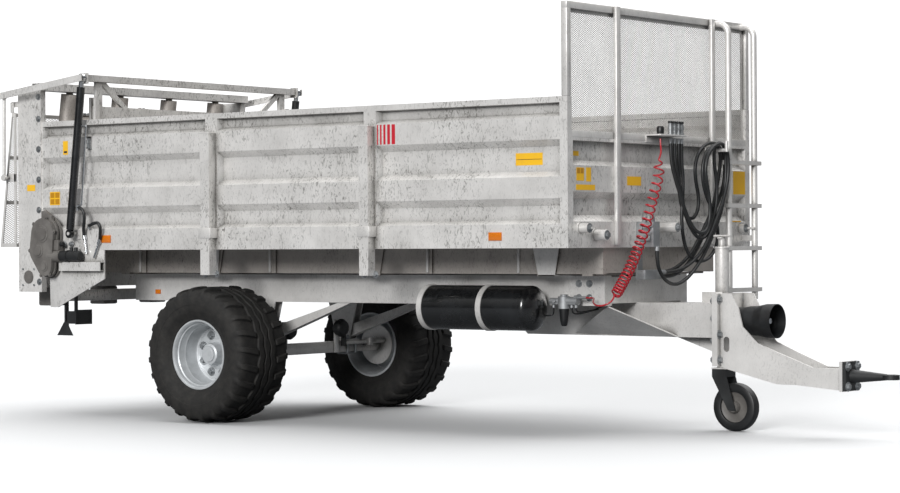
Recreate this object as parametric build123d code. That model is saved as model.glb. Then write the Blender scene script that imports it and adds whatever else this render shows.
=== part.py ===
from build123d import *
from math import atan2, cos, degrees, hypot, radians, sin
import os

# Single-axle manure spreader with four vertical beaters, parked on its jack.
# Lengths are in millimetres. X runs forward to the towing eye, Y to the machine's left
# and Z up from the ground. While modelling, X = 0 is the front face of the front wall.

# ---- driving dimensions -------------------------------------------------------------
BODY_LENGTH = 4612          # load box, front face to rear edge
BODY_HALF = 1094            # centre plane to the outer face of a side wall
WALL_TOP = 2118             # top of the side walls
SILL_BOTTOM = 1189          # lower edge of the load box
SILL_TOP = 1337             # upper edge of the rolled sill
FRONT_TOP = 1868            # top of the sheet-metal front wall
GUARD_TOP = 2700            # top of the mesh guard on the front wall
SHEET = 4                   # pressed wall sheet
PRESS_DEPTH = 40            # how far a pressed field lies inside the outer face
STILE = 12                  # flat strip at the end of a pressed field
MITRE = 28                  # sloping end of a pressed field
POST_DEPTH = 70             # wall post, out from the wall

RAIL_OUT = 493              # centre plane to the outer face of a chassis rail
RAIL_WIDTH = 80
RAIL_TOP = 1011
RAIL_BOTTOM = 819
RAIL_FRONT = -134
RAIL_REAR = -4265
RAIL_WALL = 8
TROUGH_HALF = 664           # centre plane to the outer face of the floor trough
TROUGH_BOTTOM = 1023
TROUGH_WALL = 5

AXLE_X = -3043
WHEEL_R = 470               # tyre radius, which is also the axle height
WHEEL_Y = 937               # centre plane to the middle of a wheel
TYRE_HALF = 250             # half the tyre's width
RIM_HALF = 200              # half the rim's width, lip to lip
RIM_LIP_R = 239
AXLE_SIZE = 80              # square axle beam
STUB_R = 38                 # axle stub that the hub turns on
FIT = 0.05                  # radial clearance of a shaft in its bore

BEAM_HALF = 120             # drawbar box beam
BEAM_TOP = 833
BEAM_BOTTOM = 616
BEAM_FRONT = 465
BEAM_REAR = -1150
FLANGE = 20                 # thickness of each drawbar flange
NECK_HALF_REAR = 150        # centre plane to the outer face of a neck plate, at the rear
NECK_HALF_FRONT = 88
NECK_PLATE = 12
NECK_END = 1310             # front end of the neck
EYE_TIP = 1664
EYE_Z = 394
EYE_R = 25                  # bore of the towing eye

PTO_Z = 723                 # input shaft
PTO_MOUTH = 830
PTO_R = 22
STUB_INPUT_R = 17.5         # splined stub of the input shaft

CHAIN_Z = 1307              # conveyor shafts
CHAIN_R = 80                # pitch radius of the conveyor sprockets
CHAIN_HALF = 10             # half the height of a chain
CHAIN_WIDTH = 18
SLAT_HEIGHT = 24            # slat above its chain
REAR_SHAFT = -4520
FRONT_SHAFT = -165
SHAFT_R = 25

GATE_X = -4150              # rear face of the gate panel
GATE_THICK = 25
GATE_BOTTOM = 1425
GATE_TOP = 2216
GATE_LIFT = 750
GATE_HALF = 1035
GUIDE_GAP = 0.5             # running gap of the gate in its guides
PIN_Y = 1164                # plane of the gate cylinders and of the cover links
CYL_FOOT_X, CYL_FOOT_Z = -4254, 1307
CYL_HEAD_X, CYL_HEAD_Z = -4125, 2411
ARM_X, ARM_Z = -4929, 2316          # rear end of the gate's arm
COVER_PIN_X, COVER_PIN_Z = -4935, 1719
LINK_PIN_R = 10
HINGE_X, HINGE_Z = -4900, 2254      # hinge of the rear cover

PLATE_REAR, PLATE_FRONT = -4850, -4612     # adapter side plate
PLATE_BOTTOM, PLATE_TOP = 887, 2346
BEATER_TOP_X = -4640        # beater axes at the top beam
BEATER_LEAN = 7.6           # degrees that the beaters' feet stand further back
BEATER_R = 215
BEATER_TUBE_R = 62
BEATER_Y = (-785, -262, 262, 785)
GEAR_TOP = 1076             # top of the gear beam under the beaters
TOP_BEAM = 54               # height of the beam over the beaters

JACK_X, JACK_Y = 283, 250
JACK_R = 45
CASTER_R = 156
CASTER_TRAIL = 100

EDGE = 0.3                  # gap at a seat that isn't a fit

NODES = {}


# ---- shape helpers ------------------------------------------------------------------
def block(x, y, z):
    """A block between the two limits given for each axis."""
    return Pos(sum(x) / 2, sum(y) / 2, sum(z) / 2) * Box(x[1] - x[0], y[1] - y[0], z[1] - z[0])


def side_plate(points, y):
    """An outline of (x, z) points, solid between the two Y limits."""
    plane = Plane(origin=(0, y[1], 0), x_dir=(1, 0, 0), z_dir=(0, -1, 0))
    return extrude(plane * Polygon(*points, align=None), y[1] - y[0], dir=plane.z_dir)


def cross_plate(points, x):
    """An outline of (y, z) points, solid between the two X limits."""
    plane = Plane(origin=(x[0], 0, 0), x_dir=(0, 1, 0), z_dir=(1, 0, 0))
    return extrude(plane * Polygon(*points, align=None), x[1] - x[0], dir=plane.z_dir)


def rod(start, end, radius, bore=0):
    """A round bar or tube between two points."""
    run = Vector(*end) - Vector(*start)
    ring = Circle(radius) - Circle(bore) if bore else Circle(radius)
    return extrude(Plane(origin=start, z_dir=run) * ring, run.length)


def both(shape):
    """A shape and its mirror image on the machine's other side."""
    return [shape, mirror(shape, about=Plane.XZ)]


def box_tube(x, y, z, wall, along):
    """A rectangular tube whose open ends face along the named axis."""
    inner = {"x": (0, wall, wall), "y": (wall, 0, wall), "z": (wall, wall, 0)}[along]
    hole = [(a[0] + t, a[1] - t) for a, t in zip((x, y, z), inner)]
    return block(x, y, z) - block(*hole)


def node(name, *solids):
    """Keep the named sub-part: a list of solids that don't overlap."""
    flat = []
    for item in solids:
        for shape in item if isinstance(item, list) else [item]:
            flat.extend(shape.solids())
    NODES[name] = Compound(flat)


# ---- chassis ------------------------------------------------------------------------
CROSS_MEMBERS = (           # rear face, front face, bottom
    (-4250, -4190, 860),
    (-3083, -3003, 860),
    (-2130, -2070, 860),
    (BEAM_REAR, BEAM_REAR + 80, BEAM_TOP),
    (RAIL_FRONT - 20, RAIL_FRONT, BEAM_TOP),
)


def chassis():
    outer = block((RAIL_REAR, RAIL_FRONT), (RAIL_OUT - RAIL_WIDTH, RAIL_OUT), (RAIL_BOTTOM, RAIL_TOP))
    hollow = block((RAIL_REAR, RAIL_FRONT - RAIL_WALL), (RAIL_OUT - RAIL_WIDTH - 1, RAIL_OUT - RAIL_WALL),
                   (RAIL_BOTTOM + RAIL_WALL, RAIL_TOP - RAIL_WALL))
    reach = RAIL_OUT - RAIL_WIDTH
    members = [box_tube((x0, x1), (-reach, reach), (z0, RAIL_TOP - RAIL_WALL), 5, "y")
               for x0, x1, z0 in CROSS_MEMBERS]
    node("chassis", both(outer - hollow), members)


TROUGH_BRACKETS = (-460, -1880, -3330)      # middle of each bracket along the trough
BRACKET_TOP, BRACKET_BOTTOM, BRACKET_PLATE = 200, 130, 10
TROUGH_RIBS = (-3986, -2743, -1378)


def trough():
    rear, front = -BODY_LENGTH + 70, -31
    side = block((rear, front), (TROUGH_HALF - TROUGH_WALL, TROUGH_HALF), (TROUGH_BOTTOM, SILL_BOTTOM))
    lip = block((rear, front), (TROUGH_HALF - 40, TROUGH_HALF - TROUGH_WALL),
                (TROUGH_BOTTOM, TROUGH_BOTTOM + TROUGH_WALL))
    ribs = [block((x - 6, x + 6), (TROUGH_HALF, TROUGH_HALF + 12), (TROUGH_BOTTOM, SILL_BOTTOM))
            for x in TROUGH_RIBS]
    walls = both(Part() + [side, lip] + ribs)
    inner = TROUGH_HALF - TROUGH_WALL
    head = block((front - TROUGH_WALL, front), (-inner, inner), (TROUGH_BOTTOM + TROUGH_WALL, SILL_BOTTOM))
    bearers = [block((x - 40, x + 40), (-TROUGH_HALF, TROUGH_HALF), (RAIL_TOP, TROUGH_BOTTOM))
               for x in (-150, *TROUGH_BRACKETS, -4200)]
    solids = [*walls, head, *bearers]
    for x in TROUGH_BRACKETS:
        top, low = BRACKET_TOP / 2, BRACKET_BOTTOM / 2
        outline = [(x - top, SILL_BOTTOM), (x + top, SILL_BOTTOM), (x + low, RAIL_TOP - 2), (x - low, RAIL_TOP - 2)]
        solids += both(side_plate(outline, (TROUGH_HALF, TROUGH_HALF + BRACKET_PLATE)))
    node("trough", solids)


# ---- load box -----------------------------------------------------------------------
SIDE_PRESSING = (           # height, 1 on the outer face and 0 pressed in
    (WALL_TOP, 1), (2081, 1), (2076, 0), (2021, 0), (1995, 1), (1856, 1), (1814, 0), (1664, 0),
    (1628, 1), (1495, 1), (1449, 0), (1364, 0), (SILL_TOP, 1), (SILL_BOTTOM, 1),
)
FRONT_PRESSING = (
    (FRONT_TOP, 1), (1849, 1), (1845, 0), (1729, 0), (1698, 1), (1536, 1), (1493, 0), (1392, 0),
    (1352, 1), (SILL_BOTTOM, 1),
)
POSTS = (                   # rear face, front face of each wall post
    (-2989, -2905),
    (-1590, -1514),
)
POST_TOP, POST_BOTTOM = 1981, 1016
CORNER = 46                 # front corner post, square


def pressed_sheet(length_from, length_to, pressing, bays):
    """A pressed sheet along X, its outer face at y = 0 and the press towards -y."""
    back = -PRESS_DEPTH - 40
    rows = [((level - 1) * PRESS_DEPTH, z) for z, level in pressing]
    outline = rows + [(back, pressing[-1][0]), (back, pressing[0][0])]
    fields = cross_plate(outline, (length_from, length_to))
    edge = [(length_from, 0)]
    for x0, x1 in bays:
        edge += [(x0 + STILE, 0), (x0 + STILE + MITRE, -PRESS_DEPTH),
                 (x1 - STILE - MITRE, -PRESS_DEPTH), (x1 - STILE, 0)]
    edge += [(length_to, 0), (length_to, back), (length_from, back)]
    low, high = pressing[-1][0], pressing[0][0]
    ends = extrude(Plane.XY.offset(low) * Polygon(*edge, align=None), high - low, dir=(0, 0, 1))
    solid = fields + ends
    return solid - Pos(0, -SHEET, 0) * solid


def side_walls():
    rear, front = -BODY_LENGTH, -CORNER
    stops = [rear] + [x for post in POSTS for x in post] + [front]
    bays = list(zip(stops[0::2], stops[1::2]))
    sheet = Pos(0, BODY_HALF, 0) * pressed_sheet(rear, front, SIDE_PRESSING, bays)
    inner = BODY_HALF - SHEET
    top_rail = block((rear, front), (inner - 36, inner), (2081, WALL_TOP))
    sill = (block((rear, front), (inner - 66, inner), (SILL_BOTTOM, SILL_BOTTOM + 5))
            + block((rear, front), (inner - 66, inner - 61), (SILL_BOTTOM, SILL_BOTTOM + 30)))
    wall = sheet + top_rail + sill
    posts = []
    for x0, x1 in POSTS:
        posts.append(box_tube((x0, x1), (BODY_HALF, BODY_HALF + POST_DEPTH), (POST_BOTTOM, POST_TOP), 5, "z"))
    node("side_wall_left", wall, posts)
    shaft_hole = rod((REAR_SHAFT, 1000, CHAIN_Z), (REAR_SHAFT, 1200, CHAIN_Z), SHAFT_R + 5)
    node("side_wall_right", [mirror(s, about=Plane.XZ) for s in [wall - shaft_hole] + posts])


def front_wall():
    inner = BODY_HALF - CORNER
    sheet = pressed_sheet(-inner, inner, FRONT_PRESSING, [(-inner, inner)])
    sheet = Rot(0, 0, -90) * sheet
    corners = both(box_tube((-CORNER, 0), (inner, BODY_HALF), (SILL_BOTTOM, WALL_TOP), 4, "z"))
    beam = block((-CORNER, -SHEET), (-inner, inner), (SILL_BOTTOM, SILL_BOTTOM + 5))
    node("front_wall", sheet + beam, corners)


def floor():
    top = CHAIN_Z + CHAIN_R - CHAIN_HALF - EDGE
    reach = BODY_HALF - SHEET - PRESS_DEPTH - 2
    sheet = block((REAR_SHAFT + 60, FRONT_SHAFT - 40), (-reach, reach), (top - 5, top))
    bearers = [box_tube((x - 25, x + 25), (-reach + 40, reach - 40), (CHAIN_Z - 30, top - 5), 4, "y")
               for x in range(-4300, -300, 560)]
    apron_x = -SHEET - PRESS_DEPTH - EDGE
    apron = side_plate([(apron_x, 1470), (-250, 1426), (-250, 1422), (apron_x, 1466)], (-reach, reach))
    node("floor", sheet, bearers, apron)


# ---- front guard, posts and ladder --------------------------------------------------
def diamonds(width, height, across, up, strand):
    """Diamond holes of an expanded-metal panel, as (x, y) centres with half sizes."""
    pitch_x, pitch_y = width / across, height / up
    half_x, half_y = pitch_x / 2 - strand, pitch_y / 2 - strand
    spots = [(i * pitch_x, j * pitch_y) for i in range(1, across) for j in range(1, up)]
    spots += [((i + 0.5) * pitch_x, (j + 0.5) * pitch_y) for i in range(across) for j in range(up)]
    return [Pos(x - width / 2, y - height / 2) * Polygon((half_x, 0), (0, half_y), (-half_x, 0), (0, -half_y),
                                                       align=None) for x, y in spots]


def mesh_panel(width, height, across, up, strand, thickness):
    """A sheet with diamond holes, flat on XY and centred."""
    face = Rectangle(width, height) - diamonds(width, height, across, up, strand)
    return extrude(face, thickness)


GUARD_RAIL = 45


FRONT_POSTS = (             # low Y, high Y, depth, bottom
    (-583, -533, 25, 1206),
    (565, 612, 25, 1206),
)


def front_guard():
    low = FRONT_TOP
    post_in = BODY_HALF - CORNER
    frame = Part() + [
        block((-CORNER, 0), (-post_in, post_in), (low, low + 44)),
        block((-CORNER, 0), (-BODY_HALF, BODY_HALF), (GUARD_TOP - GUARD_RAIL, GUARD_TOP)),
    ] + both(block((-CORNER, 0), (post_in, BODY_HALF), (WALL_TOP, GUARD_TOP - GUARD_RAIL)))
    z0, z1 = low + 44, GUARD_TOP - GUARD_RAIL
    panel = mesh_panel(2 * post_in, z1 - z0, 10, 5, 12, 4)
    panel = Plane(origin=(-25, 0, (z0 + z1) / 2), x_dir=(0, 1, 0), z_dir=(1, 0, 0)) * panel
    posts = [block((0, d), (y0, y1), (z0, GUARD_TOP)) for y0, y1, d, z0 in FRONT_POSTS]
    node("front_guard", frame, panel, posts)


LADDER_Y = (650, 985)
LADDER_X = 100
LADDER_R = 21
TREADS = (1762, 1475, 1190, 912)
LADDER_FOOT = 834


def ladder():
    rails = []
    for y in LADDER_Y:
        path = FilletPolyline((LADDER_X, y, LADDER_FOOT), (LADDER_X, y, GUARD_TOP - 30),
                              (EDGE, y, GUARD_TOP - 30), radius=70)
        rails.append(sweep(Plane(origin=(LADDER_X, y, LADDER_FOOT)) * Circle(LADDER_R), path=path))
    treads = [block((LADDER_X - 22, LADDER_X + 22), (LADDER_Y[0] - 40, LADDER_Y[1] + 60), (z - 28, z))
              for z in TREADS]
    stays = [block((EDGE, LADDER_X), (y - 5, y + 5), (1225, 1265)) for y in LADDER_Y]
    node("ladder", Part() + rails + treads + stays)


# ---- drawbar ------------------------------------------------------------------------
def drawbar():
    outline = [(BEAM_REAR, BEAM_TOP), (BEAM_FRONT, BEAM_TOP), (BEAM_FRONT, BEAM_BOTTOM), (-998, BEAM_BOTTOM),
               (BEAM_REAR, RAIL_BOTTOM - 60)]
    beam = side_plate(outline, (-BEAM_HALF, BEAM_HALF))
    beam -= block((BEAM_REAR - 1, BEAM_FRONT + 1), (-BEAM_HALF + 8, BEAM_HALF - 8),
                  (BEAM_BOTTOM + 8, BEAM_TOP - 8))
    under = side_plate([(85, BEAM_BOTTOM), (BEAM_FRONT, BEAM_BOTTOM), (BEAM_FRONT, 489)], (-6, 6))
    flange = block((BEAM_FRONT, BEAM_FRONT + FLANGE), (-185, 185), (440, 896))
    bore = block((BEAM_FRONT - 1, BEAM_FRONT + FLANGE + 1), (-80, 80), (650, 800))
    bearing = block((380, BEAM_FRONT - EDGE), (-70, 70), (660, 786)) - rod((300, 0, PTO_Z), (500, 0, PTO_Z), PTO_R + FIT)
    seat = block((380, BEAM_FRONT - EDGE), (-70, 70), (BEAM_BOTTOM + 8, 660))
    apex = Vector(RAIL_FRONT - 10, RAIL_OUT - 50, RAIL_BOTTOM - EDGE)
    rear = Vector(-610, BEAM_HALF + EDGE, BEAM_BOTTOM + 20)
    front = Vector(176, BEAM_HALF + EDGE, BEAM_BOTTOM + 6)
    face = make_face(Polyline(apex, rear, front, close=True))
    plate = extrude(face, 8, dir=(0, 0.5, -1))
    node("drawbar", beam + under + (flange - bore) + bearing + seat, both(plate))


NECK_SIDE = (               # x, z round the neck's side plate
    (506, 896), (579, 896), (632, 803), (660, 689), (761, 590), (894, 536), (1137, 444),
    (NECK_END, 442), (NECK_END, 309), (1024, 335), (892, 336), (528, 428), (506, 450),
)


def hitch_neck():
    x0 = BEAM_FRONT + 2 * FLANGE
    spread = degrees(atan2(NECK_HALF_REAR - NECK_HALF_FRONT, NECK_END - x0))
    plate = side_plate([(x, z) for x, z in NECK_SIDE], (NECK_HALF_REAR - NECK_PLATE, NECK_HALF_REAR))
    slot = Plane(origin=(548, 0, 578), x_dir=(0, 0, 1), z_dir=(0, 1, 0)) * SlotOverall(95, 40)
    plate -= extrude(slot, NECK_HALF_REAR + 50)
    plate = plate.rotate(Axis((x0, NECK_HALF_REAR, 0), (0, 0, 1)), -spread)
    flange = block((BEAM_FRONT + FLANGE, x0), (-185, 185), (440, 896))
    flange -= rod((BEAM_FRONT, 0, 723), (x0 + 1, 0, 723), 86)
    end = block((NECK_END, NECK_END + 20), (-95, 95), (EYE_Z - 92, EYE_Z + 92))
    taper = (NECK_HALF_REAR - NECK_HALF_FRONT) / (NECK_END - x0)
    floors = []
    for x, z in ((1130, 425), (1024, 337)):
        wide = NECK_HALF_REAR - (x - x0) * taper - NECK_PLATE / 2
        slim = NECK_HALF_FRONT - NECK_PLATE / 2
        plan = Polygon((x, -wide), (NECK_END, -slim), (NECK_END, slim), (x, wide), align=None)
        floors.append(extrude(Plane.XY.offset(z) * plan, 10, dir=(0, 0, 1)))
    node("hitch_neck", Part() + [flange, end] + floors + both(plate))


def towing_eye():
    """A bolted flange, a tapering shank and a forged ring that lies flat."""
    face = NECK_END + 20
    flange = block((face, face + 22), (-90, 90), (EYE_Z - 90, EYE_Z + 90))
    ring_x = EYE_TIP - 52
    shank = loft([Plane(origin=(face + 22, 0, EYE_Z), z_dir=(1, 0, 0)) * Circle(42),
                  Plane(origin=(ring_x - 30, 0, EYE_Z), z_dir=(1, 0, 0)) * Circle(19)])
    ring = Pos(ring_x, 0, EYE_Z) * Cylinder(52, 30)
    hole = Pos(ring_x, 0, EYE_Z) * Cylinder(EYE_R, 200)
    node("towing_eye", (flange + shank + ring) - hole)


PTO_REAR = BEAM_FRONT + 2 * FLANGE


def pto_guard():
    """A ribbed plastic bell round the input shaft."""
    steps = ((PTO_REAR, 84), (600, 84), (640, 92), (700, 94), (760, 107), (PTO_MOUTH, 108))
    outer = [(x, r) for x, r in steps]
    inner = [(x, r - 5) for x, r in reversed(steps)]
    collar = rod((PTO_REAR, 0, 0), (PTO_REAR + 6, 0, 0), 104, 80)
    bell = collar + revolve(Plane.XZ * Polygon(*(outer + inner), align=None), Axis.X)
    node("pto_guard", Pos(0, 0, PTO_Z) * bell)


def pto_shaft():
    shaft = rod((-400, 0, PTO_Z), (PTO_MOUTH - 150, 0, PTO_Z), PTO_R)
    stub = rod((PTO_MOUTH - 150, 0, PTO_Z), (PTO_MOUTH - 50, 0, PTO_Z), STUB_INPUT_R)
    node("pto_shaft", shaft + stub)


# ---- jack with its caster -----------------------------------------------------------
JACK_TUBE_LOW, JACK_TUBE_TOP = 690, 1190
CASTER_PIN_Z = 400


def jack_tube():
    tube = rod((JACK_X, JACK_Y, JACK_TUBE_LOW), (JACK_X, JACK_Y, JACK_TUBE_TOP), JACK_R, 35.05)
    cap = rod((JACK_X, JACK_Y, JACK_TUBE_TOP), (JACK_X, JACK_Y, JACK_TUBE_TOP + 50), 24)
    head = block((JACK_X - 16, JACK_X + 16), (JACK_Y - 34, JACK_Y + 34), (JACK_TUBE_TOP + 50, JACK_TUBE_TOP + 62))
    lid = rod((JACK_X, JACK_Y, JACK_TUBE_TOP - 8), (JACK_X, JACK_Y, JACK_TUBE_TOP), JACK_R)
    clamp = block((JACK_X - 60, JACK_X + 60), (BEAM_HALF, JACK_Y), (700, BEAM_TOP + 90))
    clamp -= rod((JACK_X, JACK_Y, 500), (JACK_X, JACK_Y, 1100), JACK_R)
    node("jack_tube", Part() + [tube, cap, head, lid, clamp])


def jack_leg():
    leg = rod((JACK_X, JACK_Y, CASTER_PIN_Z + 8), (JACK_X, JACK_Y, JACK_TUBE_TOP - 270), 35)
    pad = block((JACK_X - 55, JACK_X + 55), (JACK_Y - 50, JACK_Y + 50), (CASTER_PIN_Z, CASTER_PIN_Z + 8))
    pin = rod((JACK_X, JACK_Y, CASTER_PIN_Z - 40), (JACK_X, JACK_Y, CASTER_PIN_Z), 14)
    node("jack_leg", leg + pad + pin)


def caster():
    x, z = JACK_X + CASTER_TRAIL, CASTER_R
    crown = block((JACK_X - 45, JACK_X + 60), (JACK_Y - 60, JACK_Y + 60), (CASTER_PIN_Z - 50, CASTER_PIN_Z - EDGE))
    crown -= rod((JACK_X, JACK_Y, CASTER_PIN_Z - 60), (JACK_X, JACK_Y, CASTER_PIN_Z), 14 + FIT)
    outline = [(JACK_X - 45, CASTER_PIN_Z - 50), (JACK_X + 60, CASTER_PIN_Z - 50), (x + 28, z - 20), (x - 28, z - 20)]
    arms = [side_plate(outline, (JACK_Y + s * 56 - 4, JACK_Y + s * 56 + 4)) for s in (-1, 1)]
    spindle = rod((x, JACK_Y - 60, z), (x, JACK_Y + 60, z), 12)
    node("caster_fork", Part() + [crown, spindle] + arms)
    wheel = rod((x, JACK_Y - 38, z), (x, JACK_Y + 38, z), CASTER_R, 12 + FIT)
    hub = rod((x, JACK_Y - 48, z), (x, JACK_Y + 48, z), 30, 12 + FIT)
    node("caster_wheel", fillet(wheel.edges().filter_by(GeomType.CIRCLE).group_by(SortBy.RADIUS)[-1], 12) + hub)


# ---- conveyor -----------------------------------------------------------------------
CHAIN_Y = (-620, -90, 90, 620)
SLAT_STEP = 400


def conveyor_chains():
    length = FRONT_SHAFT - REAR_SHAFT
    loops = []
    plane = Plane(origin=((FRONT_SHAFT + REAR_SHAFT) / 2, 0, CHAIN_Z), x_dir=(1, 0, 0), z_dir=(0, -1, 0))
    outer, inner = CHAIN_R + CHAIN_HALF, CHAIN_R - CHAIN_HALF
    ring = SlotCenterToCenter(length, 2 * outer) - SlotCenterToCenter(length, 2 * inner)
    for y in CHAIN_Y:
        loops.append(Pos(0, y + CHAIN_WIDTH / 2, 0) * extrude(plane * ring, CHAIN_WIDTH, dir=(0, -1, 0)))
    slats = []
    for y0, y1 in ((CHAIN_Y[0] - 30, CHAIN_Y[1] + 30), (CHAIN_Y[2] - 30, CHAIN_Y[3] + 30)):
        for i in range(11):
            x = REAR_SHAFT + 140 + i * SLAT_STEP
            for face, step in ((outer, 1), (-outer, -1)):
                foot = sorted((CHAIN_Z + face, CHAIN_Z + face + step * 5))
                rise = sorted((CHAIN_Z + face, CHAIN_Z + face + step * SLAT_HEIGHT))
                slats.append(block((x - 20, x + 20), (y0, y1), foot))
                slats.append(block((x - 20, x - 15), (y0, y1), rise))
    node("conveyor_chains", Part() + loops + slats)


def conveyor_shafts():
    """Front and rear shafts with a sprocket inside each chain."""
    solids = []
    inner = BODY_HALF - SHEET
    for x, right in ((FRONT_SHAFT, inner - 20), (REAR_SHAFT, 1130)):
        shaft = rod((x, -right, CHAIN_Z), (x, inner - 20, CHAIN_Z), SHAFT_R)
        wheels = [rod((x, y - 9, CHAIN_Z), (x, y + 9, CHAIN_Z), CHAIN_R - CHAIN_HALF - EDGE) for y in CHAIN_Y]
        blocks = both(block((x - 45, x + 45), (inner - 60, inner - EDGE), (CHAIN_Z - 45, CHAIN_Z + 28)))
        solids.append(Part() + [shaft] + wheels + blocks)
    node("conveyor_shafts", solids)


def chain_tensioners():
    solids = [rod((EDGE, y, 1311), (72, y, 1311), 30) for y in (-965, 18, 965)]
    solids += [rod((EDGE, -800, 1268), (90, -800, 1268), 34)]
    node("chain_tensioners", solids)


GEAR_BOSSES = (             # x, z, radius down the gearbox
    (REAR_SHAFT, CHAIN_Z, 112),
    (-4560, 1187, 90),
    (-4500, 1076, 72),
)


def gearbox():
    y0, y1 = BODY_HALF + 8, BODY_HALF + 90
    hull = make_hull([(Pos(x, z) * Circle(r)).edges()[0] for x, z, r in GEAR_BOSSES])
    plane = Plane(origin=(0, -y0, 0), x_dir=(1, 0, 0), z_dir=(0, -1, 0))
    case = extrude(plane * hull, y1 - y0)
    bosses = [rod((x, -y1 - 10, z), (x, -y1, z), r * 0.7) for x, z, r in GEAR_BOSSES]
    bore = rod((REAR_SHAFT, -1135, CHAIN_Z), (REAR_SHAFT, -y0, CHAIN_Z), SHAFT_R + FIT)
    node("conveyor_gearbox", (Part() + [case] + bosses) - bore)


# ---- rear end -----------------------------------------------------------------------
def rear_side_plates():
    outline = [(-4543, SILL_BOTTOM - EDGE), (-3980, SILL_BOTTOM - EDGE), (-3980, 984), (-4454, 778), (-4530, 778)]
    plates = both(side_plate(outline, (BODY_HALF - 12, BODY_HALF)))
    tie = box_tube((-4500, -4420), (-BODY_HALF + 12, BODY_HALF - 12), (820, 900), 5, "y")
    arm = side_plate([(-4427, 1050), (-3960, 1062), (-3960, 1030), (-4427, 1018)],
                     (-BODY_HALF - 40, -BODY_HALF))
    node("rear_side_plates", plates, tie, arm)


def rear_lights():
    bar = block((-4420, -4404), (BODY_HALF - 60, BODY_HALF - 30), (600, 880))
    foot = side_plate([(-4404, 690), (-4328, 575), (-4490, 575)], (BODY_HALF - 30, BODY_HALF - 24))
    plate = block((-4300, -4290), (BODY_HALF - 180, BODY_HALF - 20), (655, 760))
    lamp = block((-4382, -4300), (BODY_HALF - 180, BODY_HALF - 20), (660, 750))
    stem = block((-4300, -4290), (BODY_HALF - 40, BODY_HALF - 12 - EDGE), (750, 880))
    node("rear_lights", both(Part() + [plate, lamp, stem]), both(bar + foot))


JOURNAL_R = 25
HINGE_PIN_R = 9
COVER_Y = BODY_HALF + 22    # outer face of the rear cover's flanks


def adapter():
    """Side plates, the beam over the beaters and the gear beam under them."""
    plates = []
    for s in (-1, 1):
        y = sorted((s * (BODY_HALF + 8), s * BODY_HALF))
        plates.append(block((PLATE_REAR, PLATE_FRONT), y, (PLATE_BOTTOM, PLATE_TOP)))
        web = sorted((s * (BODY_HALF - 40), s * BODY_HALF))
        plates.append(block((PLATE_REAR, PLATE_REAR + 8), web, (PLATE_BOTTOM, PLATE_TOP)))
        plates.append(block((PLATE_FRONT - 8, PLATE_FRONT), web, (PLATE_BOTTOM, PLATE_TOP)))
    top = box_tube((BEATER_TOP_X - 60, BEATER_TOP_X + 60), (-BODY_HALF - 8, BODY_HALF + 8),
                   (PLATE_TOP, PLATE_TOP + TOP_BEAM), 6, "y")
    web = BODY_HALF - EDGE
    gears = box_tube((PLATE_REAR + 8 + EDGE, PLATE_REAR + 100), (-web, web), (GEAR_TOP - 160, GEAR_TOP), 8, "y")
    for y in BEATER_Y:
        bore = rod((beater_axis(900), y, 900), (beater_axis(2500), y, 2500), JOURNAL_R + FIT)
        top -= bore
        gears -= bore
    lugs = both(block((HINGE_X - 15, PLATE_REAR), (BODY_HALF, BODY_HALF + 8), (HINGE_Z - 20, HINGE_Z + 20)))
    pins = both(rod((HINGE_X, BODY_HALF + 8, HINGE_Z), (HINGE_X, COVER_Y + 4, HINGE_Z), HINGE_PIN_R))
    node("beater_frame", Part() + plates[0:3] + [lugs[1], pins[1]], Part() + plates[3:6] + [lugs[0], pins[0]],
         top, gears)


def beater_axis(z):
    """X of a beater's leaning axis at a height."""
    return BEATER_TOP_X - (PLATE_TOP - z) * sin(radians(BEATER_LEAN)) / cos(radians(BEATER_LEAN))


PADDLES = 12


def beater(y, hand):
    """A leaning tube with a spiral of toothed paddles."""
    foot = Vector(beater_axis(GEAR_TOP + 14), y, GEAR_TOP + 14)
    head = Vector(beater_axis(PLATE_TOP - 14), y, PLATE_TOP - 14)
    lean = head - foot
    length = lean.length
    plane = Plane(origin=foot, x_dir=(0, 1, 0), z_dir=lean)
    solid = rod((0, 0, 0), (0, 0, length), BEATER_TUBE_R, BEATER_TUBE_R - 8)
    solid += [rod((0, 0, z), (0, 0, z + 10), BEATER_TUBE_R - 4) for z in (0, length - 10)]
    solid += [rod((0, 0, -40), (0, 0, 5), JOURNAL_R), rod((0, 0, length - 5), (0, 0, length + 40), JOURNAL_R)]
    start, step = 400, (length - 460) / PADDLES
    for i in range(PADDLES):
        blade = extrude(Polygon((40, -70), (BEATER_R - 20, -95), (BEATER_R - 8, -30), (BEATER_R - 3, 30),
                                (BEATER_R - 30, 95), (40, 70), align=None), 8)
        tilt = Rot(18 * hand, 0, 0)
        solid += Pos(0, 0, start + i * step) * Rot(0, 0, hand * 80 * i) * tilt * blade
    return plane * solid


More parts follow.
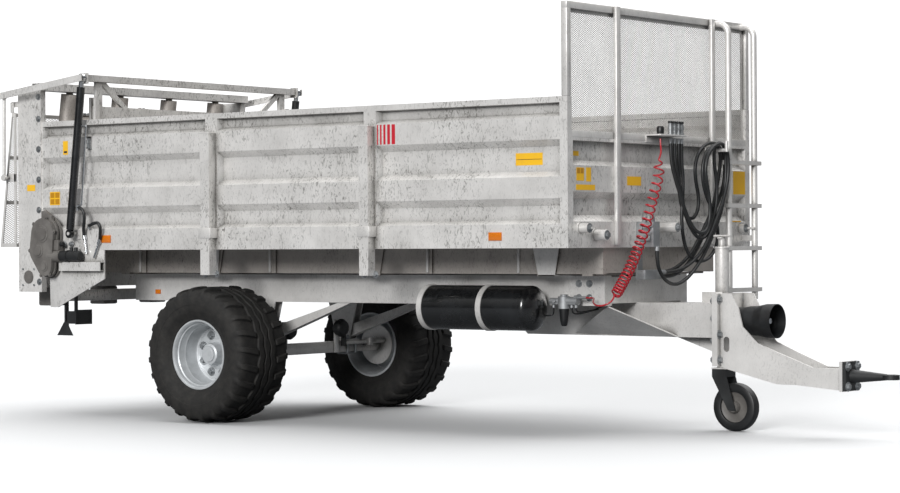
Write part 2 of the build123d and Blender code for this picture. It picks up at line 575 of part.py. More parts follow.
# ---- gate with its arms and cylinders -----------------------------------------------
def gate():
    x0, x1 = GATE_X, GATE_X + GATE_THICK
    panel = block((x1 - 4, x1), (-GATE_HALF, GATE_HALF), (GATE_BOTTOM, GATE_TOP))
    panel += [block((x0, x1), (-GATE_HALF, GATE_HALF), (z, z + 40)) for z in (GATE_BOTTOM, 1800, GATE_TOP - 40)]
    panel += [block((x0, x1), (y - 25, y + 25), (GATE_BOTTOM, GATE_TOP)) for y in (25 - GATE_HALF, 0, GATE_HALF - 25)]
    beam = box_tube((x0 - 15, x1 + 20), (-PIN_Y + 34, PIN_Y - 34), (2390, 2436), 5, "y")
    posts = [block((x0, x1), (y - 30, y + 30), (GATE_TOP, 2390)) for y in (-990, 990)]
    braces = both(cross_plate([(700, GATE_TOP), (760, GATE_TOP), (985, 2390), (925, 2390)], (x0, x1)))
    frame = Part() + [panel, beam] + posts + braces
    inner = both(block((CYL_HEAD_X - 35, CYL_HEAD_X + 35), (PIN_Y - 34, PIN_Y - 24), (2370, 2446)))
    pins = both(rod((CYL_HEAD_X, PIN_Y - 24, CYL_HEAD_Z), (CYL_HEAD_X, PIN_Y + 24, CYL_HEAD_Z), 10))
    drop = CYL_HEAD_Z - ARM_Z
    arm = side_plate([(CYL_HEAD_X + 30, CYL_HEAD_Z + 25), (CYL_HEAD_X + 30, CYL_HEAD_Z - 22),
                      (ARM_X - 25, CYL_HEAD_Z - drop - 27), (ARM_X - 25, CYL_HEAD_Z - drop + 20)],
                     (PIN_Y + 24, PIN_Y + 34))
    tips = both(rod((ARM_X, PIN_Y - 14, ARM_Z), (ARM_X, PIN_Y + 24, ARM_Z), LINK_PIN_R))
    node("gate", frame, inner, pins, both(arm), tips)


def gate_guides():
    solids = []
    near, far = GATE_X - GUIDE_GAP, GATE_X + GATE_THICK + GUIDE_GAP
    for x0, x1 in ((near - 20, near), (far, far + 20)):
        solids += both(block((x0, x1), (BODY_HALF - SHEET - PRESS_DEPTH - 40, BODY_HALF - SHEET - PRESS_DEPTH - EDGE),
                             (1420, WALL_TOP + 160)))
    node("gate_guides", solids)


def cylinders():
    foot = Vector(CYL_FOOT_X, 0, CYL_FOOT_Z)
    head = Vector(CYL_HEAD_X, 0, CYL_HEAD_Z)
    length = (head - foot).length
    lean = degrees(atan2(head.X - foot.X, head.Z - foot.Z))
    upright = Location((CYL_FOOT_X, PIN_Y, CYL_FOOT_Z)) * Rot(0, lean, 0)
    barrel = Pos(0, 0, 30) * Cylinder(29, length - 95, align=(Align.CENTER, Align.CENTER, Align.MIN))
    barrel -= Pos(0, 0, 70) * Cylinder(18 + FIT, length, align=(Align.CENTER, Align.CENTER, Align.MIN))
    eye = Rot(90, 0, 0) * Cylinder(32, 26)
    barrel = barrel + eye - Rot(90, 0, 0) * Cylinder(12 + FIT, 60)
    rod_eye = Pos(0, 0, length) * Rot(90, 0, 0) * (Cylinder(30, 26) - Cylinder(20, 60))
    shank = Pos(0, 0, 90) * Cylinder(18, length - 115, align=(Align.CENTER, Align.CENTER, Align.MIN))
    piston = rod_eye + shank
    for side, flip in (("left", 1), ("right", -1)):
        for name, shape in (("cylinder_barrel_", barrel), ("cylinder_rod_", piston)):
            placed = upright * shape
            node(name + side, placed if flip == 1 else mirror(placed, about=Plane.XZ))
    pin = rod((CYL_FOOT_X, BODY_HALF, CYL_FOOT_Z), (CYL_FOOT_X, PIN_Y + 20, CYL_FOOT_Z), 12)
    lug = block((CYL_FOOT_X - 40, CYL_FOOT_X + 40), (BODY_HALF, BODY_HALF + 10), (CYL_FOOT_Z - 40, CYL_FOOT_Z + 28))
    node("cylinder_feet", both(pin + lug))


def cover():
    """The swing-up cover behind the beaters: two flanks and a rear face of expanded metal."""
    y1 = COVER_Y
    flank = [(-4862, HINGE_Z - 60), (-4900, HINGE_Z - 60), (-5030, 1213), (-4862, 1213)]
    hole = [(-4882, HINGE_Z - 90), (-4896, HINGE_Z - 90), (-5005, 1240), (-4882, 1240)]
    side = side_plate(flank, (y1 - 8, y1)) - side_plate(hole, (y1 - 9, y1 + 1))
    side += block((-4958, -4862), (y1 - 8, y1), (COVER_PIN_Z - 30, COVER_PIN_Z + 30))
    lug = block((HINGE_X - 16, HINGE_X + 16), (y1 - 8, y1), (HINGE_Z - 60, HINGE_Z + 16))
    lug -= rod((HINGE_X, y1 - 20, HINGE_Z), (HINGE_X, y1 + 20, HINGE_Z), HINGE_PIN_R + FIT)
    pin = rod((COVER_PIN_X, y1, COVER_PIN_Z), (COVER_PIN_X, PIN_Y - 14, COVER_PIN_Z), LINK_PIN_R)
    slope = atan2(130, HINGE_Z - 60 - 1213)
    height = hypot(130, HINGE_Z - 60 - 1213)
    panel = mesh_panel(2 * (y1 - 8), height, 10, 5, 12, 4)
    back = Plane(origin=(-4965 + 4, 0, (HINGE_Z - 60 + 1213) / 2), x_dir=(0, 1, 0),
                 z_dir=(cos(slope), 0, -sin(slope)))
    node("rear_cover", both(side + lug + pin), back * panel)


def links():
    for side, flip in (("left", 1), ("right", -1)):
        y = flip * (PIN_Y - 1)
        body = rod((ARM_X, y, ARM_Z - 18), (COVER_PIN_X, y, COVER_PIN_Z + 18), 12)
        top = rod((ARM_X, y - 12, ARM_Z), (ARM_X, y + 12, ARM_Z), 22)
        low = rod((COVER_PIN_X, y - 12, COVER_PIN_Z), (COVER_PIN_X, y + 12, COVER_PIN_Z), 22)
        bore = rod((ARM_X, y - 13, ARM_Z), (ARM_X, y + 13, ARM_Z), LINK_PIN_R + FIT)
        node("cover_link_" + side, body + top + low - bore)


# ---- running gear -------------------------------------------------------------------
LUGS = 24                   # shoulder lugs on each side of a tyre


def wheel():
    """Rim with its disc, hub and drum, and the tyre round it, turned about Y."""
    spin = Axis((0, 0, 0), (0, 1, 0))

    def turned(points):
        return revolve(Plane(origin=(0, 0, 0), x_dir=(0, 1, 0), z_dir=(1, 0, 0)) * Polygon(*points, align=None), spin)

    rim = turned([(-200, 239), (-200, 225), (-170, 217), (-120, 212), (-90, 196), (90, 196), (120, 212),
                  (170, 217), (200, 225), (200, 239), (194, 239), (190, 224), (118, 218), (88, 203),
                  (-88, 203), (-118, 218), (-190, 224), (-194, 239)])
    disc = turned([(70, 196), (79, 196), (79, 60), (140, 58), (146, 50), (146, 0), (60, 0), (60, STUB_R + FIT),
                   (-150, STUB_R + FIT), (-150, 60), (-120, 60), (-120, 150), (-60, 150), (-60, 70), (70, 70)])
    outline = [(-193, 240), (-232, 290), (-250, 345), (-244, 395), (-215, 440), (-120, 460), (0, 466),
               (120, 460), (215, 440), (244, 395), (250, 345), (232, 290), (193, 240), (189.6, 224.4),
               (162, 222.05), (150, 240), (190, 300), (215, 350), (205, 395), (170, 420), (0, 438),
               (-170, 420), (-205, 395), (-215, 350), (-190, 300), (-150, 240), (-162, 222.05), (-189.6, 224.4)]
    tyre = turned(outline)
    reach = turned([(90, 440), (90, WHEEL_R - 1), (150, WHEEL_R), (225, 460), (249, 425), (250, 375), (200, 375)])
    lug = extrude(Plane(origin=(0, 0, 370)) * Polygon((-22, 95), (22, 95), (42, 175), (78, 255), (36, 255), (0, 180),
                                                    align=None), 110) & reach
    step = 360 / LUGS
    lugs = [Rot(0, i * step, 0) * lug for i in range(LUGS)]
    other = mirror(lug, about=Plane.XZ)
    lugs += [Rot(0, (i + 0.5) * step, 0) * other for i in range(LUGS)]
    tyre += lugs
    return rim + disc, tyre


def wheels():
    rim, tyre = wheel()
    for side, flip in (("left", 1), ("right", -1)):
        place = Location((AXLE_X, flip * WHEEL_Y, WHEEL_R))
        turn = Rot(0, 0, 0) if flip == 1 else Rot(0, 0, 180)
        node("rim_" + side, place * turn * rim)
        node("tyre_" + side, place * turn * tyre)


def axle():
    beam = block((AXLE_X - AXLE_SIZE / 2, AXLE_X + AXLE_SIZE / 2), (-760, 760),
                 (WHEEL_R - AXLE_SIZE / 2, WHEEL_R + AXLE_SIZE / 2))
    stubs = both(rod((AXLE_X, 760, WHEEL_R), (AXLE_X, WHEEL_Y + 55, WHEEL_R), STUB_R))
    node("axle", Part() + [beam] + stubs)


def axle_brackets():
    x0, x1 = AXLE_X - 140, AXLE_X + 140
    top, seat = RAIL_BOTTOM, WHEEL_R + AXLE_SIZE / 2
    outer = RAIL_OUT - RAIL_WIDTH
    hanger = side_plate([(x0, top), (x1, top), (AXLE_X + 60, seat), (AXLE_X - 60, seat)], (outer, outer + 10))
    hanger2 = side_plate([(x0, top), (x1, top), (AXLE_X + 60, seat), (AXLE_X - 60, seat)], (RAIL_OUT - 10, RAIL_OUT))
    brace = side_plate([(AXLE_X + 30, seat + 20), (AXLE_X + 30, seat + 110), (-2330, top), (-2223, top)],
                       (outer + 10, RAIL_OUT - 10))
    node("axle_brackets", both(hanger), both(hanger2), both(brace))


# ---- air and hydraulic equipment ----------------------------------------------------
TANK_Y, TANK_Z, TANK_R = -665, 804, 145
TANK_REAR, TANK_FRONT = -1440, -514


def air_tank():
    dome = 60
    shell = rod((TANK_REAR, TANK_Y, TANK_Z), (TANK_FRONT, TANK_Y, TANK_Z), TANK_R)
    ends = shell.edges().filter_by(GeomType.CIRCLE)
    hollow = rod((TANK_REAR + dome, TANK_Y, TANK_Z), (TANK_FRONT - dome, TANK_Y, TANK_Z), TANK_R - 6)
    node("air_tank", fillet(ends, dome) - hollow)
    straps = []
    for x in (-1380, -900):
        band = rod((x - 20, TANK_Y, TANK_Z), (x + 20, TANK_Y, TANK_Z), TANK_R + 5, TANK_R + EDGE)
        lug = block((x - 20, x + 20), (TANK_Y + TANK_R * 0.75, -RAIL_OUT), (RAIL_BOTTOM + 40, RAIL_BOTTOM + 90))
        lug -= rod((x - 21, TANK_Y, TANK_Z), (x + 21, TANK_Y, TANK_Z), TANK_R + EDGE)
        straps.append(band + lug)
    node("tank_straps", straps)


def brake_valve():
    body = rod((-400, -560, 800), (-400, -560, 880), 38)
    arm = rod((-500, -560, 850), (-250, -560, 850), 20)
    cone = rod((-400, -560, 690), (-400, -560, 800), 26)
    seat = block((-430, -370), (-560, -RAIL_OUT), (840, 860))
    node("brake_valve", body + arm + cone + seat)


def valve_block():
    valves = block((EDGE, 80), (-330, -250), (1190, 1352))
    holder = block((EDGE, 90), (-240, 100), (1900, 1912))
    couplers = [rod((60, y, 1912), (60, y, 2010), 16) for y in (-200, -130, -60, 10)]
    node("valve_block", valves, Part() + [holder] + couplers)


for make in (chassis, trough, side_walls, front_wall, floor, front_guard, ladder, drawbar, hitch_neck,
             towing_eye, pto_guard, pto_shaft, jack_tube, jack_leg, caster, conveyor_chains, conveyor_shafts,
             chain_tensioners, gearbox, rear_side_plates, rear_lights, adapter, gate, gate_guides, cylinders,
             cover, links, wheels, axle, axle_brackets, air_tank, brake_valve, valve_block):
    make()
for number, y in enumerate(BEATER_Y, 1):
    node(f"beater_{number}", beater(y, 1 if number % 2 else -1))

# ---- the finished frame: origin under the middle of the machine, on the ground --------
REAR_TIP = min(shape.bounding_box().min.X for shape in NODES.values())
SHIFT = -(REAR_TIP + EYE_TIP) / 2

os.makedirs("parts", exist_ok=True)
for name, shape in NODES.items():
    export_step(Pos(SHIFT, 0, 0) * shape, f"parts/{name}.step")
print("X shift", SHIFT)
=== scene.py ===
import bmesh
import bpy
from math import atan2, cos, hypot, pi, radians, sin
from mathutils import Matrix, Vector


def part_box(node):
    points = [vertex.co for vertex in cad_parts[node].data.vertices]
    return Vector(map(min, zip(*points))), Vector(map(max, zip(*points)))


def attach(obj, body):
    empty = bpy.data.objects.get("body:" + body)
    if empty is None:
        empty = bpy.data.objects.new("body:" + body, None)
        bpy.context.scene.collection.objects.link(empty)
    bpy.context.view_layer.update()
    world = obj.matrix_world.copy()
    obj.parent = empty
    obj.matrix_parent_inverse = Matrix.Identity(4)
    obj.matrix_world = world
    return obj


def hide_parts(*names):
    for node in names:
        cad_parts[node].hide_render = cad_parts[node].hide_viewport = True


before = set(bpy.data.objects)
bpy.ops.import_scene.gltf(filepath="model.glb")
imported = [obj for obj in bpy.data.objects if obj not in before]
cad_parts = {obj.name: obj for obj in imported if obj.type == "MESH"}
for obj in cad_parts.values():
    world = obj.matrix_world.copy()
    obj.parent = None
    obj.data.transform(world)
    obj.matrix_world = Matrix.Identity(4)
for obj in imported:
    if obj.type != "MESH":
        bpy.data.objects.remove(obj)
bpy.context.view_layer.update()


# ---- camera, floor and light -----------------------------------------------------------
# The machine stands on a pale floor under soft light, seen from its right front corner
# through a long lens. Sizes below are millimetres from the front wall's outer face.
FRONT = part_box("front_wall")[1][0]
CAMERA_PLACE = (8384.855, -13321.689, 1230.465)
CAMERA_TURN, CAMERA_TILT, CAMERA_ROLL = 37.22280, 0.106615, -0.357191
CAMERA_LENS = 97.193
SUNS = (                    # name, the way to it, strength and soft edge in degrees
    ("top", (-0.05, 0.32, 1.0), 3.0, 75),
    ("key", (0.24, -0.88, 0.32), 3.1, 20),
    ("back", (-0.5, 0.8, 0.4), 0.5, 60),
)
SKY_SEEN, SKY_LIGHT = 1.2, 0.48      # strength to the eye, and on the machine
FLOOR = ((-80, -60, 0), (80, -60, 0), (80, 400, 0), (-80, 400, 0))      # metres


def mm(x, y, z):
    return Vector((FRONT + x / 1000, y / 1000, z / 1000))


def added(name, data):
    """A new object in the scene."""
    made = bpy.data.objects.new(name, data)
    bpy.context.scene.collection.objects.link(made)
    return made


def aim_camera():
    turn, tilt, roll = radians(CAMERA_TURN), radians(CAMERA_TILT), radians(CAMERA_ROLL)
    back = Vector((sin(turn) * cos(tilt), -cos(turn) * cos(tilt), sin(tilt)))
    level = Vector((cos(turn), sin(turn), 0))
    upright = back.cross(level)
    right = cos(roll) * level + sin(roll) * upright
    up = -sin(roll) * level + cos(roll) * upright
    lens = bpy.data.cameras.new("camera")
    lens.lens, lens.sensor_width, lens.clip_end = CAMERA_LENS, 36, 100
    place = Matrix((right, up, back)).transposed().to_4x4()
    place.translation = mm(*CAMERA_PLACE)
    bpy.context.scene.camera = added("camera", lens)
    bpy.context.scene.camera.matrix_world = place


def linear(code):
    """A colour's sRGB hex code as linear red, green, blue and alpha."""
    parts = [int(code[i:i + 2], 16) / 255 for i in (1, 3, 5)]
    return [p / 12.92 if p <= 0.04045 else ((p + 0.055) / 1.055) ** 2.4 for p in parts] + [1]


def feed(tree, node, feeds):
    """Sets a node's inputs to values, or links them to sockets."""
    for key, value in feeds.items():
        if isinstance(value, bpy.types.NodeSocket):
            tree.links.new(value, node.inputs[key])
        else:
            node.inputs[key].default_value = value
    return node


def grow(tree, kind, feeds=None, **settings):
    """Adds one node: settings are its properties, feeds go to its inputs."""
    made = tree.nodes.new(kind)
    for key, value in settings.items():
        setattr(made, key, value)
    return feed(tree, made, feeds or {})


def finish_of(name, **shader):
    """A new material with its Principled shader, and the inputs given."""
    material = bpy.data.materials.new(name)
    material.use_nodes = True
    tree = material.node_tree
    feeds = {key.replace("_", " "): value for key, value in shader.items()}
    return material, tree, feed(tree, tree.nodes["Principled BSDF"], feeds)


def two_tone(tree, amount, low, high, start=0.0, end=1.0):
    """A colour that goes from low to high as an amount goes from start to end."""
    ramp = grow(tree, "ShaderNodeValToRGB", {"Fac": amount})
    for stop, colour, at in zip(ramp.color_ramp.elements, (low, high), (start, end)):
        stop.color, stop.position = colour, at
    return ramp.outputs["Color"]


def show(tree, eye, light, end):
    """Ends a tree in one shader for the camera's own rays and another for all other light."""
    seen = grow(tree, "ShaderNodeLightPath").outputs["Is Camera Ray"]
    both = grow(tree, "ShaderNodeMixShader", {0: seen, 1: light.outputs[0], 2: eye.outputs[0]})
    feed(tree, tree.nodes[end], {"Surface": both.outputs[0]})


def studio():
    bpy.context.scene.view_settings.view_transform = "Standard"
    world = bpy.data.worlds.new("studio")
    bpy.context.scene.world = world
    world.use_nodes = True
    tree = world.node_tree
    place = grow(tree, "ShaderNodeTexCoord").outputs["Generated"]
    height = grow(tree, "ShaderNodeSeparateXYZ", {"Vector": place}).outputs["Z"]
    fade = two_tone(tree, height, linear("#4A4C50"), linear("#FFFFFF"), 0.0, 0.55)
    sky = feed(tree, tree.nodes["Background"], {"Color": fade, "Strength": SKY_LIGHT})
    plain = grow(tree, "ShaderNodeBackground", {"Color": linear("#FFFFFF"), "Strength": SKY_SEEN})
    show(tree, plain, sky, "World Output")
    floor = added("floor_stage", bpy.data.meshes.new("floor_stage"))
    floor.data.from_pydata(FLOOR, [], [(0, 1, 2, 3)])
    # The floor is white to the eye, and throws back only as much light as a grey one would.
    paint, tree, surface = finish_of("floor_paint", Roughness=0.9, Base_Color=linear("#CDCECF"))
    show(tree, surface, grow(tree, "ShaderNodeBsdfDiffuse", {"Color": linear("#77797C")}), "Material Output")
    floor.data.materials.append(paint)
    for name, way, power, spread in SUNS:
        light = bpy.data.lights.new(name, "SUN")
        light.energy, light.angle = power, radians(spread)
        added(name, light).rotation_euler = Vector(way).to_track_quat("Z", "Y").to_euler()


aim_camera()
studio()


# ---- hydraulic hoses and the coiled air line ----------------------------------------------
# Four long rubber hoses hang from couplings in the holder, loop down the front wall, pass over
# the peg and run to the manifold, and two short ones join the pipes at the rear right. The red
# nylon air line is wound on itself as a spring.
HOSE_R, COIL_R, TAIL_R = 11.8, 38, 5.5
HOSES = (                   # node, length in metres, then the route's points
    ("hose_1", 2.770, (
        (88, -55, 1880), (88, -55, 1735), (106, -15, 1600), (124, 40, 1450), (136, 90, 1355), (136, 165, 1290),
        (136, 250, 1275), (136, 320, 1310), (136, 350, 1395), (136, 345, 1500), (136, 310, 1600),
        (136, 290, 1700), (136, 325, 1795), (136, 410, 1855), (136, 500, 1872), (136, 568, 1832),
        (136, 588, 1740), (136, 575, 1620), (136, 520, 1500), (136, 440, 1390), (136, 355, 1275),
        (124, 270, 1162), (104, 160, 1080), (76, 20, 1030), (76, -130, 1030))),
    ("hose_2", 3.142, (
        (88, -9, 1880), (88, -9, 1740), (96, 25, 1610), (108, 60, 1470), (112, 100, 1360), (112, 170, 1285),
        (112, 260, 1235), (112, 345, 1262), (112, 415, 1345), (112, 462, 1445), (112, 480, 1550),
        (112, 468, 1640), (112, 446, 1720), (112, 440, 1800), (112, 454, 1844), (112, 492, 1871),
        (112, 538, 1871), (112, 576, 1844), (112, 590, 1800), (112, 594, 1725), (112, 588, 1640),
        (112, 574, 1540), (112, 535, 1430), (112, 465, 1320), (112, 380, 1215), (112, 290, 1120),
        (112, 190, 1040), (114, 75, 975), (118, -50, 945), (124, -165, 965), (124, -245, 1025),
        (124, -281, 1095), (124, -281, 1165))),
    ("hose_3", 3.226, (
        (88, 76, 1880), (88, 76, 1745), (88, 98, 1625), (88, 88, 1500), (88, 72, 1385), (88, 84, 1270),
        (88, 125, 1170), (88, 205, 1105), (88, 310, 1090), (88, 420, 1115), (88, 500, 1180), (88, 530, 1270),
        (88, 505, 1365), (88, 440, 1450), (88, 370, 1535), (88, 332, 1635), (88, 340, 1740), (88, 395, 1825),
        (88, 485, 1862), (84, 560, 1838), (74, 590, 1755), (60, 584, 1650), (56, 556, 1540), (56, 505, 1430),
        (56, 425, 1335), (56, 335, 1240), (56, 240, 1145), (48, 125, 1075), (36, 0, 1030), (36, -130, 1030))),
    ("hose_4", 2.724, (
        (88, 40, 1880), (88, 40, 1750), (76, 66, 1640), (56, 100, 1535), (42, 150, 1440), (38, 225, 1375),
        (38, 310, 1375), (38, 365, 1440), (38, 365, 1530), (38, 330, 1620), (38, 320, 1715), (38, 365, 1805),
        (38, 450, 1862), (38, 550, 1880), (38, 650, 1850), (38, 700, 1765), (38, 700, 1660), (38, 668, 1560),
        (38, 600, 1465), (38, 520, 1375), (38, 440, 1280), (38, 350, 1180), (42, 240, 1090), (50, 110, 1025),
        (56, -20, 1000), (56, -130, 1000))),
    ("cylinder_hose", 0.247, (
        (-4177, -1160, 1496), (-4135, -1158, 1486), (-4116, -1154, 1440), (-4128, -1146, 1385), (-4156, -1126, 1340),
        (-4161, -1114, 1290))),
    ("motor_hose", 0.258, (
        (-4115, -1110, 1364), (-4085, -1130, 1364), (-4040, -1142, 1378), (-3990, -1142, 1384), (-3972, -1138, 1345),
        (-3990, -1124, 1300), (-4004, -1114, 1262))),
)
TAIL_TOP = ((88, -176, 1880), (88, -176, 1835), (110, -200, 1790), (110, -200, 1745))
COIL = (
    (110, -226, 1745), (110, -226, 1665), (110, -262, 1580), (110, -310, 1490), (110, -352, 1400),
    (110, -400, 1310), (110, -455, 1222), (110, -515, 1135), (110, -583, 1050), (110, -660, 970),
    (110, -741, 893),
)
TAIL_LOW = (
    (110, -741, 893), (110, -781.5, 854.5), (72, -808, 832), (15, -800, 828), (-45, -752, 840), (-95, -685, 856),
    (-132, -612, 869), (-178, -560, 872), (-230, -560, 872),
)
COIL_TURNS, TURN_POINTS = 26, 14


def spline_through(name, points, radius=0.0):
    """A smooth line with the points as its control points, as a round cord of the radius in mm."""
    data = bpy.data.curves.new(name, "CURVE")
    data.dimensions = "3D"
    data.bevel_depth, data.bevel_resolution, data.use_fill_caps = radius / 1000, 5, True
    data.resolution_u = 6
    line = data.splines.new("NURBS")
    line.points.add(len(points) - 1)
    for point, place in zip(line.points, points):
        point.co = (*place, 1)
    line.order_u = 3
    line.use_endpoint_u = True
    return added(name, data)


def frozen(thing):
    """The plain mesh that an object comes to; the object itself goes."""
    bpy.context.view_layer.update()
    mesh = bpy.data.meshes.new_from_object(thing.evaluated_get(bpy.context.evaluated_depsgraph_get()))
    bpy.data.objects.remove(thing)
    return mesh


def line_points(points, shares):
    """Places at shares of the length of the smooth line through points, with the way it runs there."""
    guide = spline_through("guide", points)
    guide.data.resolution_u = 24
    mesh = frozen(guide)
    line = [v.co.copy() for v in mesh.vertices]
    bpy.data.meshes.remove(mesh)
    gaps = [(b - a).length for a, b in zip(line, line[1:])]
    reach = [sum(gaps[:i]) for i in range(len(line))]
    spots = []
    for share in shares:
        goal = reach[-1] * share
        at = max(i for i in range(len(gaps)) if reach[i] <= goal + 1e-9)
        along = (line[at + 1] - line[at]).normalized()
        spots.append((line[at] + along * (goal - reach[at]), along))
    return spots


def noise(tree, scale, detail, rough=0.5):
    """Noise in the piece's own coordinates; the scale is cells to the metre."""
    place = grow(tree, "ShaderNodeTexCoord").outputs["Object"]
    feeds = {"Vector": place, "Scale": scale, "Detail": detail, "Roughness": rough}
    return grow(tree, "ShaderNodeTexNoise", feeds).outputs["Fac"]


def relief(tree, height, strength, depth):
    """A surface normal that follows a height, with its depth in metres."""
    feeds = {"Height": height, "Strength": strength, "Distance": depth}
    return grow(tree, "ShaderNodeBump", feeds).outputs["Normal"]


def mottled(name, low, high, patch, start, end, grain=None, **shader):
    """A finish that drifts between two linear colours. Patch is the noise's scale, detail and roughness;
    grain is the scale and detail of a finer noise, then the strength and depth of its relief."""
    material, tree, surface = finish_of(name, **shader)
    drift = noise(tree, *patch)
    feed(tree, surface, {"Base Color": two_tone(tree, drift, low, high, start, end)})
    if grain:
        feed(tree, surface, {"Normal": relief(tree, noise(tree, *grain[:2]), *grain[2:])})
    return material, tree, surface, drift


HOSE_BLACK = linear("#121314")
HOSE_WORN = [c * 1.9 + 0.004 for c in HOSE_BLACK[:3]] + [1]
hose_cover = mottled("hose_cover_rubber", HOSE_BLACK, HOSE_WORN, (9, 5, 0.6), 0.35, 0.75,
                     (1000 / 3, 4, 0.25, 0.0008), Roughness=0.45)[0]
coil_nylon = mottled("red_nylon_tube", linear("#8E1420"), linear("#B4202C"), (12, 3), 0, 1,
                     Roughness=0.3, Coat_Weight=0.2)[0]


def lay_cord(line, finish):
    """Gives a soft line its finish and hangs it on the frame."""
    line.data.materials.append(finish)
    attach(line, "frame")


def hang_hoses():
    for node, length, route in HOSES:
        hose = spline_through("hydraulic_" + node, [mm(*p) for p in route], HOSE_R)
        lay_cord(hose, hose_cover)


def wind_air_line():
    count = COIL_TURNS * TURN_POINTS
    shares = [1.5 * t - 0.5 * t * t for t in (i / count for i in range(count + 1))]
    bore = (COIL_R - TAIL_R) / 1000
    turns = []
    for i, (spot, along) in enumerate(line_points([mm(*p) for p in COIL], shares)):
        side = along.cross(Vector((1, 0, 0))).normalized()
        front = side.cross(along).normalized()
        angle = 2 * pi * i / TURN_POINTS
        wide = bore * min(1, (i + 3) / TURN_POINTS, (count - i + 3) / TURN_POINTS)
        turns.append(spot + side * (wide * cos(angle)) + front * (wide * sin(angle)))
    points = [mm(*p) for p in TAIL_TOP[:-1]] + turns + [mm(*p) for p in TAIL_LOW[1:]]
    line = spline_through("coiled_air_line", points, TAIL_R)
    line.data.resolution_u = line.data.bevel_resolution = 2
    lay_cord(line, coil_nylon)


hang_hoses()
wind_air_line()


# ---- galvanised steel ------------------------------------------------------------------
# Nearly all the machine is sheet and section dipped in hot zinc. The zinc freezes in
# flat crystals about 10-25 mm across, some bright and some dull, under a cloudy bloom.
def remap(tree, value, start, end, low=0.0, high=1.0):
    """A value taken from between start and end to between low and high."""
    feeds = {"Value": value, "From Min": start, "From Max": end, "To Min": low, "To Max": high}
    return grow(tree, "ShaderNodeMapRange", feeds).outputs[0]


def reckon(tree, operation, a, b=0.5, **settings):
    """The result of one operation on two values or sockets."""
    return grow(tree, "ShaderNodeMath", {0: a, 1: b}, operation=operation, **settings).outputs[0]


def galvanised(name, light, dark, crystal, flecks, roughness=0.4):
    """Zinc in a light hex colour, with dark crystals of a size in mm scattered in drifts, and painted shade in its
    creases and mitres.
    """
    material, tree, surface = finish_of(name, Metallic=0.4)
    place = grow(tree, "ShaderNodeTexCoord").outputs["Object"]
    laid = grow(tree, "ShaderNodeMapping", {"Vector": place, "Rotation": (0.5, 0.6, 0.3), "Scale": (1, 1, 0.45)})
    grain = grow(tree, "ShaderNodeTexNoise", {
        "Vector": laid.outputs[0], "Scale": 1100 / crystal, "Detail": 5, "Roughness": 0.62,
        "Distortion": 1.6}).outputs["Fac"]
    drift = remap(tree, noise(tree, 2.4, 4), 0.36, 0.6, 0.25 * flecks, flecks)
    fleck = reckon(tree, "MULTIPLY", remap(tree, grain, 0.52, 0.66), drift)
    bloom = remap(tree, noise(tree, 4.5, 7, 0.6), 0.35, 0.7, 0.0, 0.3)
    # Painted shade: the zinc's colour darkens where surfaces close in, at creases and mitres, as an occlusion node
    # measures it.
    crease_occlusion = grow(tree, "ShaderNodeAmbientOcclusion", {"Distance": 0.07}, samples=6, only_local=True).outputs["AO"]
    painted_crease_shade = remap(tree, crease_occlusion, 0.45, 0.95, 0.9, 0.0)
    tone = reckon(tree, "ADD", reckon(tree, "ADD", fleck, bloom), painted_crease_shade, use_clamp=True)
    feed(tree, surface, {"Base Color": two_tone(tree, tone, linear(light), linear(dark)),
                         "Roughness": remap(tree, tone, 0, 1, roughness - 0.05, roughness + 0.2),
                         "Normal": relief(tree, grain, 0.15, 0.001)})
    return material


wall_zinc = galvanised("hot_dip_zinc_sheet", "#E6E4E1", "#72706C", 22, 0.75)
section_zinc = galvanised("hot_dip_zinc_section", "#E0DEDB", "#7A7875", 18, 0.3)
dull_zinc = galvanised("weathered_zinc", "#B3ADA7", "#5F5A55", 16, 0.6, 0.5)


def coat(material, *nodes):
    """Gives CAD nodes a finish through their own material slots."""
    for name in nodes:
        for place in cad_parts[name].material_slots:
            place.material = material


coat(wall_zinc, "side_wall_left", "side_wall_right", "front_wall", "beater_frame", "gate")
coat(section_zinc, "chassis", "ladder", "drawbar", "hitch_neck", "gate_guides", "cylinder_feet", "axle_brackets",
     "jack_leg", "tank_straps", "cover_link_left", "cover_link_right")
coat(dull_zinc, "floor", "trough")


# ---- castings, paint, bare steel and plastic -----------------------------------------------
# The gearboxes are grey painted castings. Cylinders and tank are black enamel, the towing eye,
# caster fork and lamp housings black primer, and piston rods ground chrome. Shafts and chains
# are bare steel, and the shaft bell is plastic.
def painted(name, code, worn, roughness=0.4, coat_weight=0.0, metal=0.0, grain=2.5, bump=0.15):
    """Paint over metal: a little orange peel of a size in mm, dull and paler in patches."""
    material, tree, surface, wear = mottled(
        name, linear(code), linear(worn), (7, 8, 0.65), 0.42, 0.8, (1000 / grain, 2, bump, 0.0006),
        Metallic=metal, Coat_Weight=coat_weight)
    feed(tree, surface, {"Roughness": remap(tree, wear, 0, 1, roughness - 0.08, roughness + 0.18)})
    return material


cast_iron = painted("painted_grey_casting", "#55524F", "#75726E", 0.45, grain=4, bump=0.5)
enamel = painted("black_enamel", "#0B0C0D", "#1C1E20", 0.22, 0.5)
rough_black = painted("black_primer", "#151617", "#2A2C2D", 0.5)
machined = painted("oiled_bare_steel", "#6E6F70", "#9A9B9B", 0.35, metal=0.9, grain=3)
chrome = painted("ground_chrome", "#B9BCBF", "#D5D7D9", 0.12, metal=1.0, grain=8, bump=0.02)
bell_plastic = painted("moulded_polyethylene", "#0D0E0F", "#202224", 0.38, grain=1.5, bump=0.3)
rim_enamel = painted("silver_enamel", "#C3C6C8", "#9EA1A3", 0.38, metal=0.35)
coat(enamel, "cylinder_barrel_left", "cylinder_barrel_right")
coat(chrome, "cylinder_rod_left", "cylinder_rod_right", "pto_shaft")
coat(rough_black, "towing_eye", "caster_fork", "rear_lights")
coat(machined, "conveyor_chains", "conveyor_shafts")
